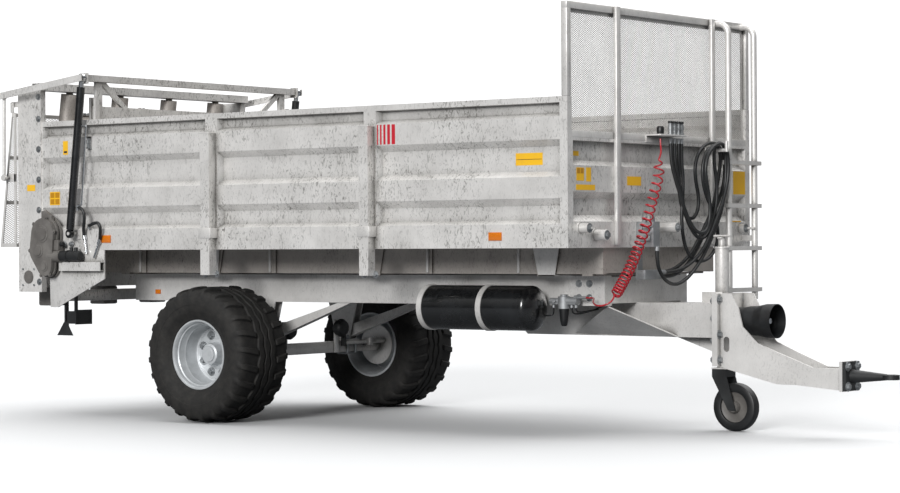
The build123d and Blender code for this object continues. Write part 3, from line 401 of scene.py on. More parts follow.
coat(bell_plastic, "pto_guard")


# ---- front guard ----------------------------------------------------------------------------
# A welded frame of square tube with a panel of expanded steel sheet, galvanised as one
# piece. It stands on the front wall, with two flat posts running down the front.
WALL_TOP, GUARD_LOW, GUARD_TOP, GUARD_RAIL = 2118, 1868, 2700, 45
BODY_HALF, CORNER = 1094, 46
STRAND = 2.6                # width of one strand of the expanded sheet
CELL = (26, 13)             # width and height of one diamond


def group_of(name, *floats):
    """A Geometry Nodes tree that takes a mesh, numbers and a finish, with the sockets it takes them by."""
    tree = bpy.data.node_groups.new(name, "GeometryNodeTree")
    rows = [("Geometry", "INPUT", "Geometry")] + [(title, "INPUT", "Float") for title in floats]
    for title, way, kind in rows + [("Finish", "INPUT", "Material"), ("Geometry", "OUTPUT", "Geometry")]:
        tree.interface.new_socket(title, in_out=way, socket_type="NodeSocket" + kind)
    return tree, grow(tree, "NodeGroupInput").outputs


def give(tree, geometry, finish):
    """Ends a tree: plain geometry in the finish given."""
    real = grow(tree, "GeometryNodeRealizeInstances", {"Geometry": geometry})
    done = grow(tree, "GeometryNodeSetMaterial", {"Geometry": real.outputs[0], "Material": finish})
    grow(tree, "NodeGroupOutput", {"Geometry": done.outputs[0]})
    return tree


def shift(tree, axis, amount):
    """A vector along one axis."""
    return grow(tree, "ShaderNodeCombineXYZ", {axis: amount}).outputs[0]


def expanded_sheet_tree():
    """Zigzag strands side by side over a panel flat on YZ, each next one set half a diamond on."""
    tree, into = group_of("expanded_sheet", "Width", "Height", "Cell width", "Cell height", "Strand")
    step = reckon(tree, "MULTIPLY", into["Cell height"], 0.5)
    cells = reckon(tree, "ROUND", reckon(tree, "DIVIDE", into["Width"], into["Cell width"]))
    along = grow(tree, "GeometryNodeCurvePrimitiveLine", {
        "Start": shift(tree, "Y", reckon(tree, "MULTIPLY", into["Width"], -0.5)),
        "End": shift(tree, "Y", reckon(tree, "MULTIPLY", into["Width"], 0.5))})
    count = reckon(tree, "ADD", reckon(tree, "MULTIPLY", cells, 2.0), 1.0)
    line = grow(tree, "GeometryNodeResampleCurve", {"Curve": along.outputs[0], "Count": count})
    rows = grow(tree, "GeometryNodeMeshLine", {
        "Count": reckon(tree, "FLOOR", reckon(tree, "DIVIDE", into["Height"], step)),
        "Offset": shift(tree, "Z", step)})
    strands = grow(tree, "GeometryNodeInstanceOnPoints", {"Points": rows.outputs[0], "Instance": line.outputs[0]})
    strands = grow(tree, "GeometryNodeRealizeInstances", {"Geometry": strands.outputs[0]})
    height = grow(tree, "ShaderNodeSeparateXYZ", {"Vector": grow(tree, "GeometryNodeInputPosition").outputs[0]})
    row = reckon(tree, "ROUND", reckon(tree, "DIVIDE", height.outputs["Z"], step))
    index = grow(tree, "GeometryNodeSplineParameter").outputs["Index"]
    odd = reckon(tree, "MODULO", reckon(tree, "ADD", row, index), 2.0)
    lift = shift(tree, "Z", reckon(tree, "MULTIPLY", odd, step))
    strands = grow(tree, "GeometryNodeSetPosition", {"Geometry": strands.outputs[0], "Offset": lift})
    section = grow(tree, "GeometryNodeCurvePrimitiveQuadrilateral", {
        "Width": into["Strand"], "Height": into["Strand"]})
    sheet = grow(tree, "GeometryNodeCurveToMesh", {
        "Curve": strands.outputs[0], "Profile Curve": section.outputs[0], "Fill Caps": True})
    return give(tree, sheet.outputs[0], into["Finish"])


def grown(name, tree, settings, mesh=None, turn=None):
    """Runs a tree once on a mesh and returns the plain mesh it gives, moved by a matrix."""
    seed = added(name, mesh or bpy.data.meshes.new(name))
    maker = seed.modifiers.new("maker", "NODES")
    maker.node_group = tree
    ids = {item.name: item.identifier for item in tree.interface.items_tree if item.in_out == "INPUT"}
    for title, value in settings.items():
        maker[ids[title]] = value
    result = frozen(seed)
    result.name = name
    if turn:
        result.transform(turn)
    return result


def expanded_panel(name, width, height, cell, turn):
    """A panel of expanded sheet in section zinc, with sizes in mm."""
    return grown(name, expanded, {
        "Width": width / 1000, "Height": height / 1000, "Cell width": cell[0] / 1000,
        "Cell height": cell[1] / 1000, "Strand": STRAND / 1000, "Finish": section_zinc}, turn=turn)


def piece(name, mesh, body, slot, *replaced):
    """Puts a mesh in the scene as a piece that rides on a body."""
    made = added(name, mesh)
    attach(made, body)
    if replaced:
        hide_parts(*replaced)


def solid(bm, name, finish, *replaced, body="frame", slot="galvanised"):
    """The piece that the faces built so far make: faces outwards, shaded smooth up to 35 degrees."""
    bmesh.ops.recalc_face_normals(bm, faces=bm.faces)
    mesh = bpy.data.meshes.new(name)
    bm.to_mesh(mesh)
    bm.free()
    mesh.shade_smooth()
    mesh.set_sharp_from_angle(angle=radians(35))
    mesh.materials.append(finish)
    piece(name, mesh, body, slot, *replaced)


def round_edges(bm, parts, bevel):
    """Rounds the edges of vertices or faces by a size in mm."""
    edges = list({edge for part in parts for edge in (part.link_edges if hasattr(part, "co") else part.edges)})
    bmesh.ops.bevel(bm, geom=edges, offset=bevel / 1000, segments=2, affect="EDGES", profile=0.5)


def box_into(bm, x, y, z, bevel=0.0):
    """A closed box between millimetre limits, with rounded edges of a size in mm."""
    low, high = mm(min(x), min(y), min(z)), mm(max(x), max(y), max(z))
    corners = bmesh.ops.create_cube(bm, size=1)["verts"]
    for v in corners:
        v.co = [low[i] + (v.co[i] + 0.5) * (high[i] - low[i]) for i in range(3)]
    if bevel:
        round_edges(bm, corners, bevel)


expanded = expanded_sheet_tree()
POSTS = ((-583, -533, 25), (565, 612, 25))      # low Y, high Y and depth of each flat post
POST_LOW = 1206


def front_guard():
    post_in = BODY_HALF - CORNER
    top_rail = GUARD_TOP - GUARD_RAIL
    edging = (-28, -22)
    bm = bmesh.new()
    box_into(bm, (-CORNER, 0), (-post_in, post_in), (GUARD_LOW, GUARD_LOW + 44), 4)
    box_into(bm, (-CORNER, 0), (-BODY_HALF, BODY_HALF), (top_rail, GUARD_TOP), 6)
    for side in (-1, 1):
        box_into(bm, (-CORNER, 0), (side * post_in, side * BODY_HALF), (WALL_TOP, top_rail + 4), 6)
        box_into(bm, edging, (side * (post_in - 22), side * post_in), (GUARD_LOW + 40, top_rail), 1)
    box_into(bm, edging, (-post_in, post_in), (top_rail - 22, top_rail + 2), 1)
    for y0, y1, depth in POSTS:
        box_into(bm, (0.3, depth), (y0, y1), (POST_LOW, GUARD_TOP - 1), 4)
    solid(bm, "front_guard_frame", section_zinc, "front_guard")
    low, high = GUARD_LOW + 40, top_rail + 4
    panel = expanded_panel("front_guard_mesh", 2 * (post_in - 4), high - low, CELL,
                           Matrix.Translation(mm(-23, 0, low)))
    piece("front_guard_mesh", panel, "frame", "galvanised", "front_guard")


front_guard()


# ---- rear cover -----------------------------------------------------------------------------
# A light frame of flat bar and expanded sheet that hangs behind the beaters on two pins
# and swings up as the gate rises. It keeps what the beaters throw from flying high.
HINGE_X, HINGE_Z = -4900, 2254
COVER_LOW, COVER_SPREAD, COVER_IN = 1213, 130, -4862      # low edge, lean, and the flanks' front edge
COVER_Y, PIN_Y = BODY_HALF + 22, BODY_HALF + 70
COVER_PIN_X, COVER_PIN_Z = -4935, 1719
COVER_CELL = (30, 15)


def plate_into(bm, outline, along, span, bevel=0.0):
    """A flat plate: an outline in mm across the axis named, between two levels along it."""
    order = {"x": lambda p, t: mm(t, p[0], p[1]), "y": lambda p, t: mm(p[0], t, p[1]),
             "z": lambda p, t: mm(p[0], p[1], t)}[along]
    low, high = ([bm.verts.new(order(p, t)) for p in outline] for t in span)
    faces = [bm.faces.new(low), bm.faces.new(high)]
    faces += [bm.faces.new((low[i - 1], low[i], high[i], high[i - 1])) for i in range(len(low))]
    if bevel:
        round_edges(bm, faces[:2], bevel)


def turned_into(bm, start, end, profile, sides=40, ring=False):
    """Turns (distance, radius) points in mm about the line from start to end; a ring joins last to first."""
    low, along = mm(*start), (mm(*end) - mm(*start)).normalized()
    side = along.orthogonal().normalized()
    up = along.cross(side)
    rings = []
    for reach, radius in profile:
        centre = low + along * (reach / 1000)
        spots = [2 * pi * i / sides for i in range(sides)] if radius else [0]
        rings.append([bm.verts.new(centre + (side * cos(t) + up * sin(t)) * (radius / 1000)) for t in spots])
    for one, two in zip(rings, rings[1:] + rings[:1] if ring else rings[1:]):
        for i in range(sides):
            j = (i + 1) % sides
            corners = [one[i % len(one)], one[j % len(one)], two[j % len(two)], two[i % len(two)]]
            bm.faces.new(list(dict.fromkeys(corners)))


def rod_into(bm, start, end, radius, edge=1.5, sides=28):
    """A round bar between two places, its ends slightly rounded."""
    length = (Vector(end) - Vector(start)).length
    turned_into(bm, start, end, [(0, 0), (0, radius - edge), (edge, radius), (length - edge, radius),
                                 (length, radius - edge), (length, 0)], sides)


def bar_into(bm, x, y, z, *form):
    """A round bar along the one of x, y and z that is given as a span; form is as for rod_into."""
    start, end = zip(*(v if isinstance(v, tuple) else (v, v) for v in (x, y, z)))
    rod_into(bm, start, end, *form)


def rear_cover():
    top = HINGE_Z - 60
    lean = atan2(COVER_SPREAD, top - COVER_LOW)
    height = hypot(COVER_SPREAD, top - COVER_LOW)
    turn = Matrix.Translation(mm(-4961, 0, (top + COVER_LOW) / 2)) @ Matrix.Rotation(lean, 4, "Y")
    panel = expanded_panel("rear_cover_mesh", 2 * (COVER_Y - 12), height - 20, COVER_CELL,
                           turn @ Matrix.Translation((0, 0, -(height - 20) / 2000)))
    piece("rear_cover_mesh", panel, "rear_cover", "galvanised", "rear_cover")
    bm = bmesh.new()
    for z in (-height / 2 + 14, -height / 6, height / 6, height / 2 - 16):
        for v in bmesh.ops.create_cube(bm, size=1)["verts"]:
            v.co = turn @ Vector((v.co.x * 0.008, v.co.y * 2 * (COVER_Y - 8.5) / 1000, v.co.z * 0.026 + z / 1000))
    flank = [(COVER_IN, top), (-4900, top), (-5030, COVER_LOW), (COVER_IN, COVER_LOW), (COVER_IN, COVER_LOW + 27),
             (-5005, COVER_LOW + 27), (-4896, top - 30), (-4882, top - 30), (-4882, COVER_LOW + 27),
             (COVER_IN, COVER_LOW + 27.5)]
    for side in (-1, 1):
        flat = (side * (COVER_Y - 8), side * COVER_Y)
        plate_into(bm, flank, "y", flat)
        box_into(bm, (-4958, COVER_IN), flat, (COVER_PIN_Z - 30, COVER_PIN_Z + 30), 1.5)
        box_into(bm, (HINGE_X - 16, HINGE_X + 16), flat, (top, HINGE_Z + 16), 2)
        bar_into(bm, COVER_PIN_X, (side * COVER_Y, side * (PIN_Y - 14)), COVER_PIN_Z, 10)
    solid(bm, "rear_cover_frame", section_zinc, "rear_cover", body="rear_cover")


rear_cover()


# ---- wheels ---------------------------------------------------------------------------------
# Wide flotation tyres on silver steel rims, eight nuts each. The tyre's shoulder lugs lean
# and wrap down the sidewall, with zigzag ribs between them, and road dust has greyed it.
AXLE_X, WHEEL_R, WHEEL_Y = -3043, 470, 937
LUGS = 24
# Edges of the lugs in shares of one pitch: the outboard lug, then the inboard one.
PHASES = (0.0, 0.05, 0.33, 0.38, 0.5, 0.55, 0.83, 0.88)
# Half the tyre's section: across and out from the wheel's middle in mm, then the rise of a lug there.
SECTION = (
    (0, 462, 0), (14, 463, 0), (17, 463, 0), (22, 451, 0), (34, 451, 0), (39, 463, 0), (60, 463, 0), (78, 462, 0),
    (83, 450, 0), (94, 449, 0), (99, 449, 18), (120, 449, 19), (150, 448, 19), (180, 446, 17), (205, 442, 15),
    (224, 432, 13), (236, 417, 11), (243, 400, 7), (246, 388, 0.5), (248, 376, 0), (249.5, 360, 0),
    (249, 344, 0), (247, 342, 0), (246, 332, 0), (242, 312, 0), (237, 296, 0), (233, 291, 0), (226, 279, 0),
    (214, 262, 0), (206, 254, 0), (203, 247, 0), (196, 241, 0), (191, 239, 0), (188, 226, 0), (150, 217, 0),
)


tyre_rubber = mottled("dusty_tyre_rubber", linear("#0F0E0D"), linear("#282623"), (16, 8, 0.7), 0.4, 0.78,
                      (300, 4, 0.3, 0.001), Roughness=0.8)[0]


def tyre(hand, flip):
    """The tyre as one closed ring of faces, its columns following the leaning edges of the lugs."""
    rows = [(side * v, r, rise, side) for side, part in ((-1, SECTION[::-1]), (1, SECTION[1:]))
            for v, r, rise in part]
    bm = bmesh.new()
    columns = []
    for lug in range(LUGS):
        for number, phase in enumerate(PHASES):
            column = []
            for v, r, rise, side in rows:
                lean = max(0, min(abs(v), 246) - 96) * 0.24 / 150
                wave = 7 * (1 - 4 * abs((phase + lug) % 1 - 0.5)) if 10 < abs(v) < 90 else 0
                on = number in ((1, 2) if side > 0 else (5, 6))
                out = r + (rise if on else 0)
                angle = 2 * pi * (lug + phase + lean) / LUGS
                column.append(bm.verts.new(mm(AXLE_X + flip * out * sin(angle),
                                              flip * (WHEEL_Y + v + side * wave), WHEEL_R + out * cos(angle))))
            columns.append(column)
    for one, two in zip(columns, columns[1:] + columns[:1]):
        for i in range(len(rows)):
            bm.faces.new((one[i - 1], one[i], two[i], two[i - 1]))
    solid(bm, "tyre_with_lugs_" + hand, tyre_rubber, "tyre_" + hand, body="wheel_" + hand, slot="tyre_rubber")


# Out from the hub along the axle, and the radius there: rim, disc with its raised rings, hub and drum.
RIM = ((-194, 239), (-189.6, 224), (-104, 206), (104, 206), (189.6, 224), (194, 239), (197, 240), (200, 238),
       (200, 229), (196, 225), (186, 219), (170, 217), (166, 209), (120, 204), (112, 198), (20, 197),
       (8, 190), (6, 184), (10, 180), (10, 174), (5, 168), (5, 108), (12, 100), (14, 84), (22, 78), (60, 74),
       (84, 70), (90, 56), (99, 52), (100, 46), (100, 38.2), (-118, 38.2), (-118, 146), (-112, 150), (-56, 150),
       (-52, 146), (-52, 96), (-6, 96), (-6, 190), (-30, 198), (-104, 200), (-186, 216), (-200, 226), (-200, 238))


NUT_RING = 135              # radius of the circle of wheel nuts


def bolt_tree():
    """A hexagon head on a washer at each point, standing the way its "facing" says."""
    tree, into = group_of("hexagon_bolts", "Across", "Head", "Washer")
    half = reckon(tree, "MULTIPLY", into["Across"], 0.577)
    head, washer = (grow(tree, "GeometryNodeMeshCone", {
        "Vertices": sides, "Radius Top": radius, "Radius Bottom": radius, "Depth": depth}).outputs[0]
        for sides, radius, depth in ((6, half, into["Head"]), (20, into["Across"], into["Washer"])))
    lift = shift(tree, "Z", into["Washer"])
    head = grow(tree, "GeometryNodeTransform", {"Geometry": head, "Translation": lift}).outputs[0]
    both = grow(tree, "GeometryNodeJoinGeometry", {0: head})
    feed(tree, both, {0: washer})
    facing = grow(tree, "GeometryNodeInputNamedAttribute", {"Name": "facing"}, data_type="FLOAT_VECTOR").outputs[0]
    turn = grow(tree, "FunctionNodeAlignRotationToVector", {"Vector": facing}, axis="Z").outputs[0]
    stand = grow(tree, "GeometryNodeInstanceOnPoints", {
        "Points": into["Geometry"], "Instance": both.outputs[0], "Rotation": turn})
    return give(tree, stand.outputs[0], into["Finish"])


hexagon = bolt_tree()
bolt_zinc = painted("zinc_plated_bolts", "#8C8F91", "#B5B7B8", 0.35, metal=0.8, grain=2)


def bolts(name, places, across=24, head=10, washer=2.5, body="frame", finish=bolt_zinc, slot="galvanised"):
    """Bolt heads on a body: places are (x, y, z) in mm with the way each faces."""
    seats = bpy.data.meshes.new(name)
    seats.from_pydata([mm(*place) for place, way in places], [], [])
    ways = seats.attributes.new("facing", "FLOAT_VECTOR", "POINT")
    for row, (place, way) in zip(ways.data, places):
        row.vector = way
    made = grown(name, hexagon, {"Across": across / 1000, "Head": head / 1000, "Washer": washer / 1000,
                                 "Finish": finish}, mesh=seats)
    piece(name, made, body, slot)


def wheels():
    for side, flip in (("left", 1), ("right", -1)):
        body = "wheel_" + side
        tyre(side, flip)
        bm = bmesh.new()
        hub, way, near, far = ((AXLE_X, flip * (WHEEL_Y + out), WHEEL_R) for out in (0, 10, 84, 102))
        turned_into(bm, hub, way, RIM, 96, ring=True)
        rod_into(bm, near, far, 44, 4, 40)
        solid(bm, "wheel_rim_" + side, rim_enamel, "rim_" + side, body=body, slot="rim_silver")
        nuts = [((AXLE_X + NUT_RING * sin(t), flip * (WHEEL_Y + 7), WHEEL_R + NUT_RING * cos(t)), (0, flip, 0))
                for t in (2 * pi * (i + 0.5) / 8 for i in range(8))]
        bolts("wheel_nuts_" + side, nuts, 30, 22, 4, body)


wheels()


# ---- axle and brakes --------------------------------------------------------------------------
# A square beam clamped under two hangers by U-bolts. Brake shields, camshafts, levers and
# their black chambers stand on its front.
CAM_OUT, CAM_LEVER_Y, LEVER_TOP = 76, 330, 640
CHAMBER = ((0, 0), (0, 48), (8, 56), (30, 58), (36, 66), (46, 66), (52, 58), (70, 52), (80, 30), (84, 0))
U_BOLT_Y = (408, 498)
U_BOLT = ((-50, 84), (-50, 20), (-50, -30), (-48, -49), (-20, -49), (20, -49), (48, -49), (50, -30), (50, 20),
          (50, 84))


def axle():
    bm, dark = bmesh.new(), bmesh.new()
    back = WHEEL_Y - 124
    cam_x, cam_z = AXLE_X + CAM_OUT, WHEEL_R + 30
    box_into(bm, (AXLE_X - 40, AXLE_X + 40), (-760, 760), (WHEEL_R - 40, WHEEL_R + 40), 5)
    for s in (-1, 1):
        bar_into(bm, AXLE_X, (s * 760, s * (WHEEL_Y + 55)), WHEEL_R, 38)
        bar_into(bm, AXLE_X, (s * (back - 8), s * back), WHEEL_R, 148, 2, 56)
        bar_into(bm, cam_x, (s * CAM_LEVER_Y, s * (back - 4)), cam_z, 15)
        box_into(bm, (AXLE_X + 40, cam_x + 28), (s * 600, s * 640), (cam_z - 28, cam_z + 28), 3)
        box_into(bm, (AXLE_X + 40, AXLE_X + 50), (s * (CAM_LEVER_Y - 70), s * (CAM_LEVER_Y - 14)),
                 (WHEEL_R - 40, LEVER_TOP + 30), 2)
        lever = [(cam_x - 24, cam_z - 24), (cam_x + 24, cam_z - 24), (cam_x + 16, LEVER_TOP), (cam_x - 16, LEVER_TOP)]
        plate_into(dark, lever, "y", (s * (CAM_LEVER_Y - 6), s * (CAM_LEVER_Y + 6)), 1.5)
        y = s * (CAM_LEVER_Y - 42)
        turned_into(dark, (AXLE_X + 50, y, LEVER_TOP - 30), (AXLE_X + 60, y, LEVER_TOP - 30), CHAMBER, 40)
        bar_into(dark, (AXLE_X + 120, cam_x + 9), y, LEVER_TOP - 25, 8)
        box_into(dark, (cam_x - 9, cam_x + 9), (y, s * (CAM_LEVER_Y - 6)), (LEVER_TOP - 34, LEVER_TOP - 16), 1)
    solid(bm, "axle_beam_and_camshafts", section_zinc, "axle")
    solid(dark, "brake_levers_and_chambers", rough_black, slot="black_paint")


def bent_bar(name, slot, finish, radius, *routes):
    """Bent round bars or hard lines of a radius in mm, each along its own route, as one plain mesh."""
    bm = bmesh.new()
    for route in routes:
        line = spline_through("bar", [mm(*p) for p in route], radius)
        line.data.bevel_resolution, line.data.resolution_u = 3, 5
        mesh = frozen(line)
        bm.from_mesh(mesh)
        bpy.data.meshes.remove(mesh)
    bmesh.ops.remove_doubles(bm, verts=bm.verts, dist=1e-5)
    solid(bm, name, finish, slot=slot)


def axle_clamps():
    across = [s * y for s in (-1, 1) for y in U_BOLT_Y]
    bent_bar("axle_u_bolts", "galvanised", bolt_zinc, 9,
             *[[(AXLE_X + x, y, WHEEL_R + z) for x, z in U_BOLT] for y in across])
    nuts = [((AXLE_X + x, y, WHEEL_R + 54), (0, 0, 1)) for y in across for x in (-50, 50)]
    bolts("axle_u_bolt_nuts", nuts, 28, 16, 3)
    bm = bmesh.new()
    for s in (-1, 1):
        box_into(bm, (AXLE_X - 72, AXLE_X + 72), (s * 392, s * 514), (WHEEL_R + 40.5, WHEEL_R + 54), 2)
    solid(bm, "axle_clamp_plates", section_zinc)


axle()
axle_clamps()


# ---- air tank and brake valve --------------------------------------------------------------------
# A black enamelled pressure vessel with domed ends, held by two galvanised straps beside the
# right rail. The trailer brake valve stands in front of it, cast aluminium with a black cone.
TANK_Y, TANK_Z, TANK_R, TANK_REAR, TANK_FRONT = -665, 804, 145, -1440, -514
RAIL_OUT = 493              # outer face of a chassis rail
VALVE = (-400, -560, 850)
# Round parts of the valve: start and end from its middle, and radius. Then its cone, and the air lines from it.
VALVE_RODS = (
    ((0, 0, -50), (0, 0, 30), 38), ((0, 0, 0), (110, 0, 0), 27), ((110, 0, 22), (170, 0, 22), 9),
    ((80, 0, 22), (112, 0, 22), 14), ((-105, 0, 0), (0, 0, 0), 20), ((-60, -34, 0), (-60, 0, 0), 12),
    ((-80, 0, -44), (-80, 0, 0), 11), ((60, 0, -44), (60, 0, 0), 11), ((92, 0, -44), (92, 0, 0), 11),
    ((0, 0, 30), (0, 0, 42), 24))
CONE = ((0, 0), (0, 14), (6, 20), (40, 26), (110, 32), (110, 0))
AIR_LINES = (
    ((-80, 0, -44), (-80, 0, -75), (-95, 10, -92), (-130, -40, -96), (-122, -83, -86), (-154, -85, -86)),
    ((60, 0, -44), (60, 0, -70), (66, 30, -84), (70, 120, -80), (70, 260, -60), (40, 380, -40)),
    ((92, 0, -44), (92, 0, -64), (96, 40, -72), (96, 140, -66), (60, 300, -60)))
cast_aluminium = painted("sand_cast_aluminium", "#8E9092", "#B9BBBC", 0.5, metal=0.7, grain=3, bump=0.5)


def air_tank():
    length = TANK_FRONT - TANK_REAR
    dome = [(62 - 62 * cos(t), TANK_R * sin(t) ** 0.9) for t in (pi / 2 * i / 10 for i in range(1, 11))]
    profile = [(0, 0)] + dome + [(70, TANK_R), (71, TANK_R - 1.2), (73, TANK_R - 1.2), (74, TANK_R)]
    profile += [(length - d, r) for d, r in profile[::-1]]
    bm = bmesh.new()
    turned_into(bm, (TANK_REAR, TANK_Y, TANK_Z), (TANK_FRONT, TANK_Y, TANK_Z), profile, 72)
    solid(bm, "air_tank_shell", enamel, "air_tank", slot="black_paint")


def from_valve(*points):
    """Points measured from the valve's middle, in the shared frame."""
    return [[a + b for a, b in zip(VALVE, point)] for point in points]


def brake_valve():
    x, y, z = VALVE
    bm = bmesh.new()
    for start, end, radius in VALVE_RODS:
        rod_into(bm, *from_valve(start, end), radius)
    box_into(bm, (x - 30, x + 30), (y, -RAIL_OUT), (z - 10, z + 10), 2)
    box_into(bm, (x - 96, x + 100), (y - 22, y + 22), (z - 22, z - 10), 3)
    solid(bm, "brake_valve_body", cast_aluminium, "brake_valve")
    bm = bmesh.new()
    turned_into(bm, *from_valve((0, 0, -160), (0, 0, -50)), CONE, 32)
    solid(bm, "brake_valve_cone", bell_plastic, slot="black_plastic")
    bent_bar("air_lines", "black_plastic", bell_plastic, 5, *[from_valve(*line) for line in AIR_LINES])


air_tank()
brake_valve()


# ---- hydraulic valves, manifold and coupling holder ---------------------------------------------
# Cast valves bolted to the front wall over a drilled manifold. The holder above parks the
# quick couplings, and a peg welded to the left post carries the hoses.
VALVES_LOW, VALVES_TOP, HOLDER_Y, HOLDER_Z, HOOK_Y, HOOK_Z = 1190, 1352, (-215, 105), 1900, 515, 1824
MANIFOLD_Y, MANIFOLD_Z = (-370, -190), (985, 1046)
# Turned parts, as distance and radius: the hose's ferrule, the coupling, its cap, and the air line's cap.
FERRULE = ((0, 0), (0, 12), (26, 13), (30, 16), (34, 13), (34.5, 0))
COUPLING = ((0, 0), (0, 19), (10, 19), (12, 14), (34, 14), (36, 17), (60, 17), (62, 13), (74, 13), (74, 0))
CAP = ((0, 0), (0, 17), (12, 17), (15, 14), (15, 0))
AIR_CAP = ((0, 0), (0, 22), (14, 24), (40, 24), (50, 18), (50, 0))


def valves_and_holder():
    bm = bmesh.new()
    box_into(bm, (0.3, 128), (-330, -250), (VALVES_LOW, VALVES_TOP), 5)
    box_into(bm, (30, 110), (-345, -235), (1228, 1262), 3)
    for x in (40, 96):
        bar_into(bm, x, -290, (VALVES_TOP, VALVES_TOP + 34), 17)
        bar_into(bm, x, (-345, -235), 1310, 13)
    box_into(bm, (12, 18), (-345, -285), (MANIFOLD_Z[0], VALVES_LOW + 1), 1)
    box_into(bm, (18, 92), MANIFOLD_Y, MANIFOLD_Z, 3)
    x, y, z = HOSES[1][2][-1]
    bar_into(bm, x, y, (z, VALVES_LOW + 3), HOSE_R + 3)
    for number in (0, 2, 3):
        x, y, z = HOSES[number][2][-1]
        bar_into(bm, x, (MANIFOLD_Y[1], y + 14), z, HOSE_R + 3)
    solid(bm, "valves_and_manifold", cast_aluminium, "valve_block")
    bm = bmesh.new()
    box_into(bm, (0.3, 116), HOLDER_Y, (HOLDER_Z, HOLDER_Z + 10), 2)
    box_into(bm, (0.3, 6), HOLDER_Y, (HOLDER_Z - 40, HOLDER_Z + 12), 1)
    box_into(bm, (5, 17), (HOOK_Y - 15, 565), (HOOK_Z - 20, HOOK_Z + 20), 2)
    bar_into(bm, (17, 164), HOOK_Y, HOOK_Z, 12)
    bar_into(bm, 164, HOOK_Y, (HOOK_Z - 12, HOOK_Z + 60), 12)
    solid(bm, "coupling_holder_and_peg", section_zinc)
    bm, caps = bmesh.new(), bmesh.new()
    for *_, route in HOSES:
        x, y, z = route[0]
        turned_into(bm, (x, y, z - 26), (x, y, z), FERRULE, 24)
        turned_into(bm, (x, y, HOLDER_Z + 10), (x, y, HOLDER_Z + 98), COUPLING, 24)
        turned_into(caps, (x, y, HOLDER_Z + 83), (x, y, HOLDER_Z + 98), CAP, 24)
    solid(bm, "quick_couplings", bolt_zinc, slot="bright_steel")
    x, y, z = TAIL_TOP[0]
    turned_into(caps, (x, y, HOLDER_Z + 10), (x, y, HOLDER_Z + 60), AIR_CAP, 24)
    solid(caps, "coupling_caps", bell_plastic, slot=None)


valves_and_holder()


# ---- jack and its caster ------------------------------------------------------------------------
# A round jack tube held to the drawbar's side by two plates, with a crank on its head. The
# caster's solid rubber tyre is moulded on a pressed hub and turns in a black fork.
JACK_X, JACK_Y, JACK_CLAMP_Y, CASTER_R, CASTER_TRAIL = 283, 250, 132, 156, 100
JACK_TUBE = ((0, 35.2), (0, 44), (2, 45), (486, 45), (488, 49), (498, 49), (500, 46), (500, 24), (550, 24),
             (552, 22), (552, 0.01), (490, 0.01), (490, 35.2))
JACK_PLATE = ((-70, -118), (70, -118), (60, 20), (36, 58), (-36, 58), (-60, 20))      # from the tube's middle
CASTER_TYRE = (
    (-36, 100), (-38, 106), (-38, CASTER_R - 16), (-34, CASTER_R - 6), (-22, CASTER_R - 0.5), (-4, CASTER_R),
    (4, CASTER_R), (22, CASTER_R - 0.5), (34, CASTER_R - 6), (38, CASTER_R - 16), (38, 106), (36, 100), (20, 96),
    (-20, 96))
CASTER_HUB = (
    (-48, 12.2), (48, 12.2), (48, 30), (44, 34), (14, 40), (12, 70), (22, 92), (24, 99), (20, 99),
    (-20, 99), (-24, 99), (-22, 92), (-12, 70), (-14, 40), (-44, 34), (-48, 30))


def jack():
    bm = bmesh.new()
    turned_into(bm, (JACK_X, JACK_Y, 690), (JACK_X, JACK_Y, 1190), JACK_TUBE, 48, ring=True)
    box_into(bm, (JACK_X - 16, JACK_X + 16), (JACK_Y - 34, JACK_Y + 34), (1240, 1252), 2)
    bar_into(bm, (JACK_X - 60, JACK_X + 60), JACK_Y, 1258, 8)
    box_into(bm, (JACK_X - 75, JACK_X + 75), (JACK_CLAMP_Y - 12, JACK_CLAMP_Y), (646, 899), 2)
    for z in (704, 867):
        plate_into(bm, [(JACK_X + x, JACK_Y + y) for x, y in JACK_PLATE], "z", (z, z + 12), 1.5)
    solid(bm, "jack_tube_and_clamp", section_zinc, "jack_tube")
    bolts("jack_clamp_bolts", [((JACK_X + x, JACK_CLAMP_Y, z), (0, 1, 0)) for x in (-56, 56) for z in (760, 835)])
    middle, way = ((JACK_X + CASTER_TRAIL, JACK_Y + y, CASTER_R) for y in (0, 10))
    bm = bmesh.new()
    turned_into(bm, middle, way, CASTER_TYRE, 72, ring=True)
    solid(bm, "caster_tyre", hose_cover, "caster_wheel", body="caster_wheel", slot="tyre_rubber")
    bm = bmesh.new()
    turned_into(bm, middle, way, CASTER_HUB, 48, ring=True)
    solid(bm, "caster_hub", cast_iron, body="caster_wheel")


jack()


# ---- conveyor drive and its gearbox -----------------------------------------------------------
# A three-stage gear case with a bolted flange stands on the right end plate and turns the
# rear shaft. A hydraulic motor drives it. Tensioners for the floor chains cross the front wall.
GEAR_BOSSES = ((-4520, 1307, 112), (-4560, 1187, 90), (-4500, 1076, 72))
MOTOR_Z, MOTOR_R, MOTOR_REAR = 1147, 38, -4360
MOTOR = ((0, 0), (0, MOTOR_R), (60, MOTOR_R), (62, MOTOR_R + 4), (74, MOTOR_R + 4), (76, MOTOR_R - 2),
         (186, MOTOR_R - 2), (192, MOTOR_R - 10), (192, 0))
GEAR_EAR = ((-4560, 1400), (-4450, 1380), (-4458, 1437), (-4530, 1476), (-4560, 1470))
TENSIONERS = ((-965, 1311, 72, 30, 22), (-76, 1315, 150, 33, 8), (952, 1311, 51, 30, 69), (-800, 1268, 90, 34, 14))


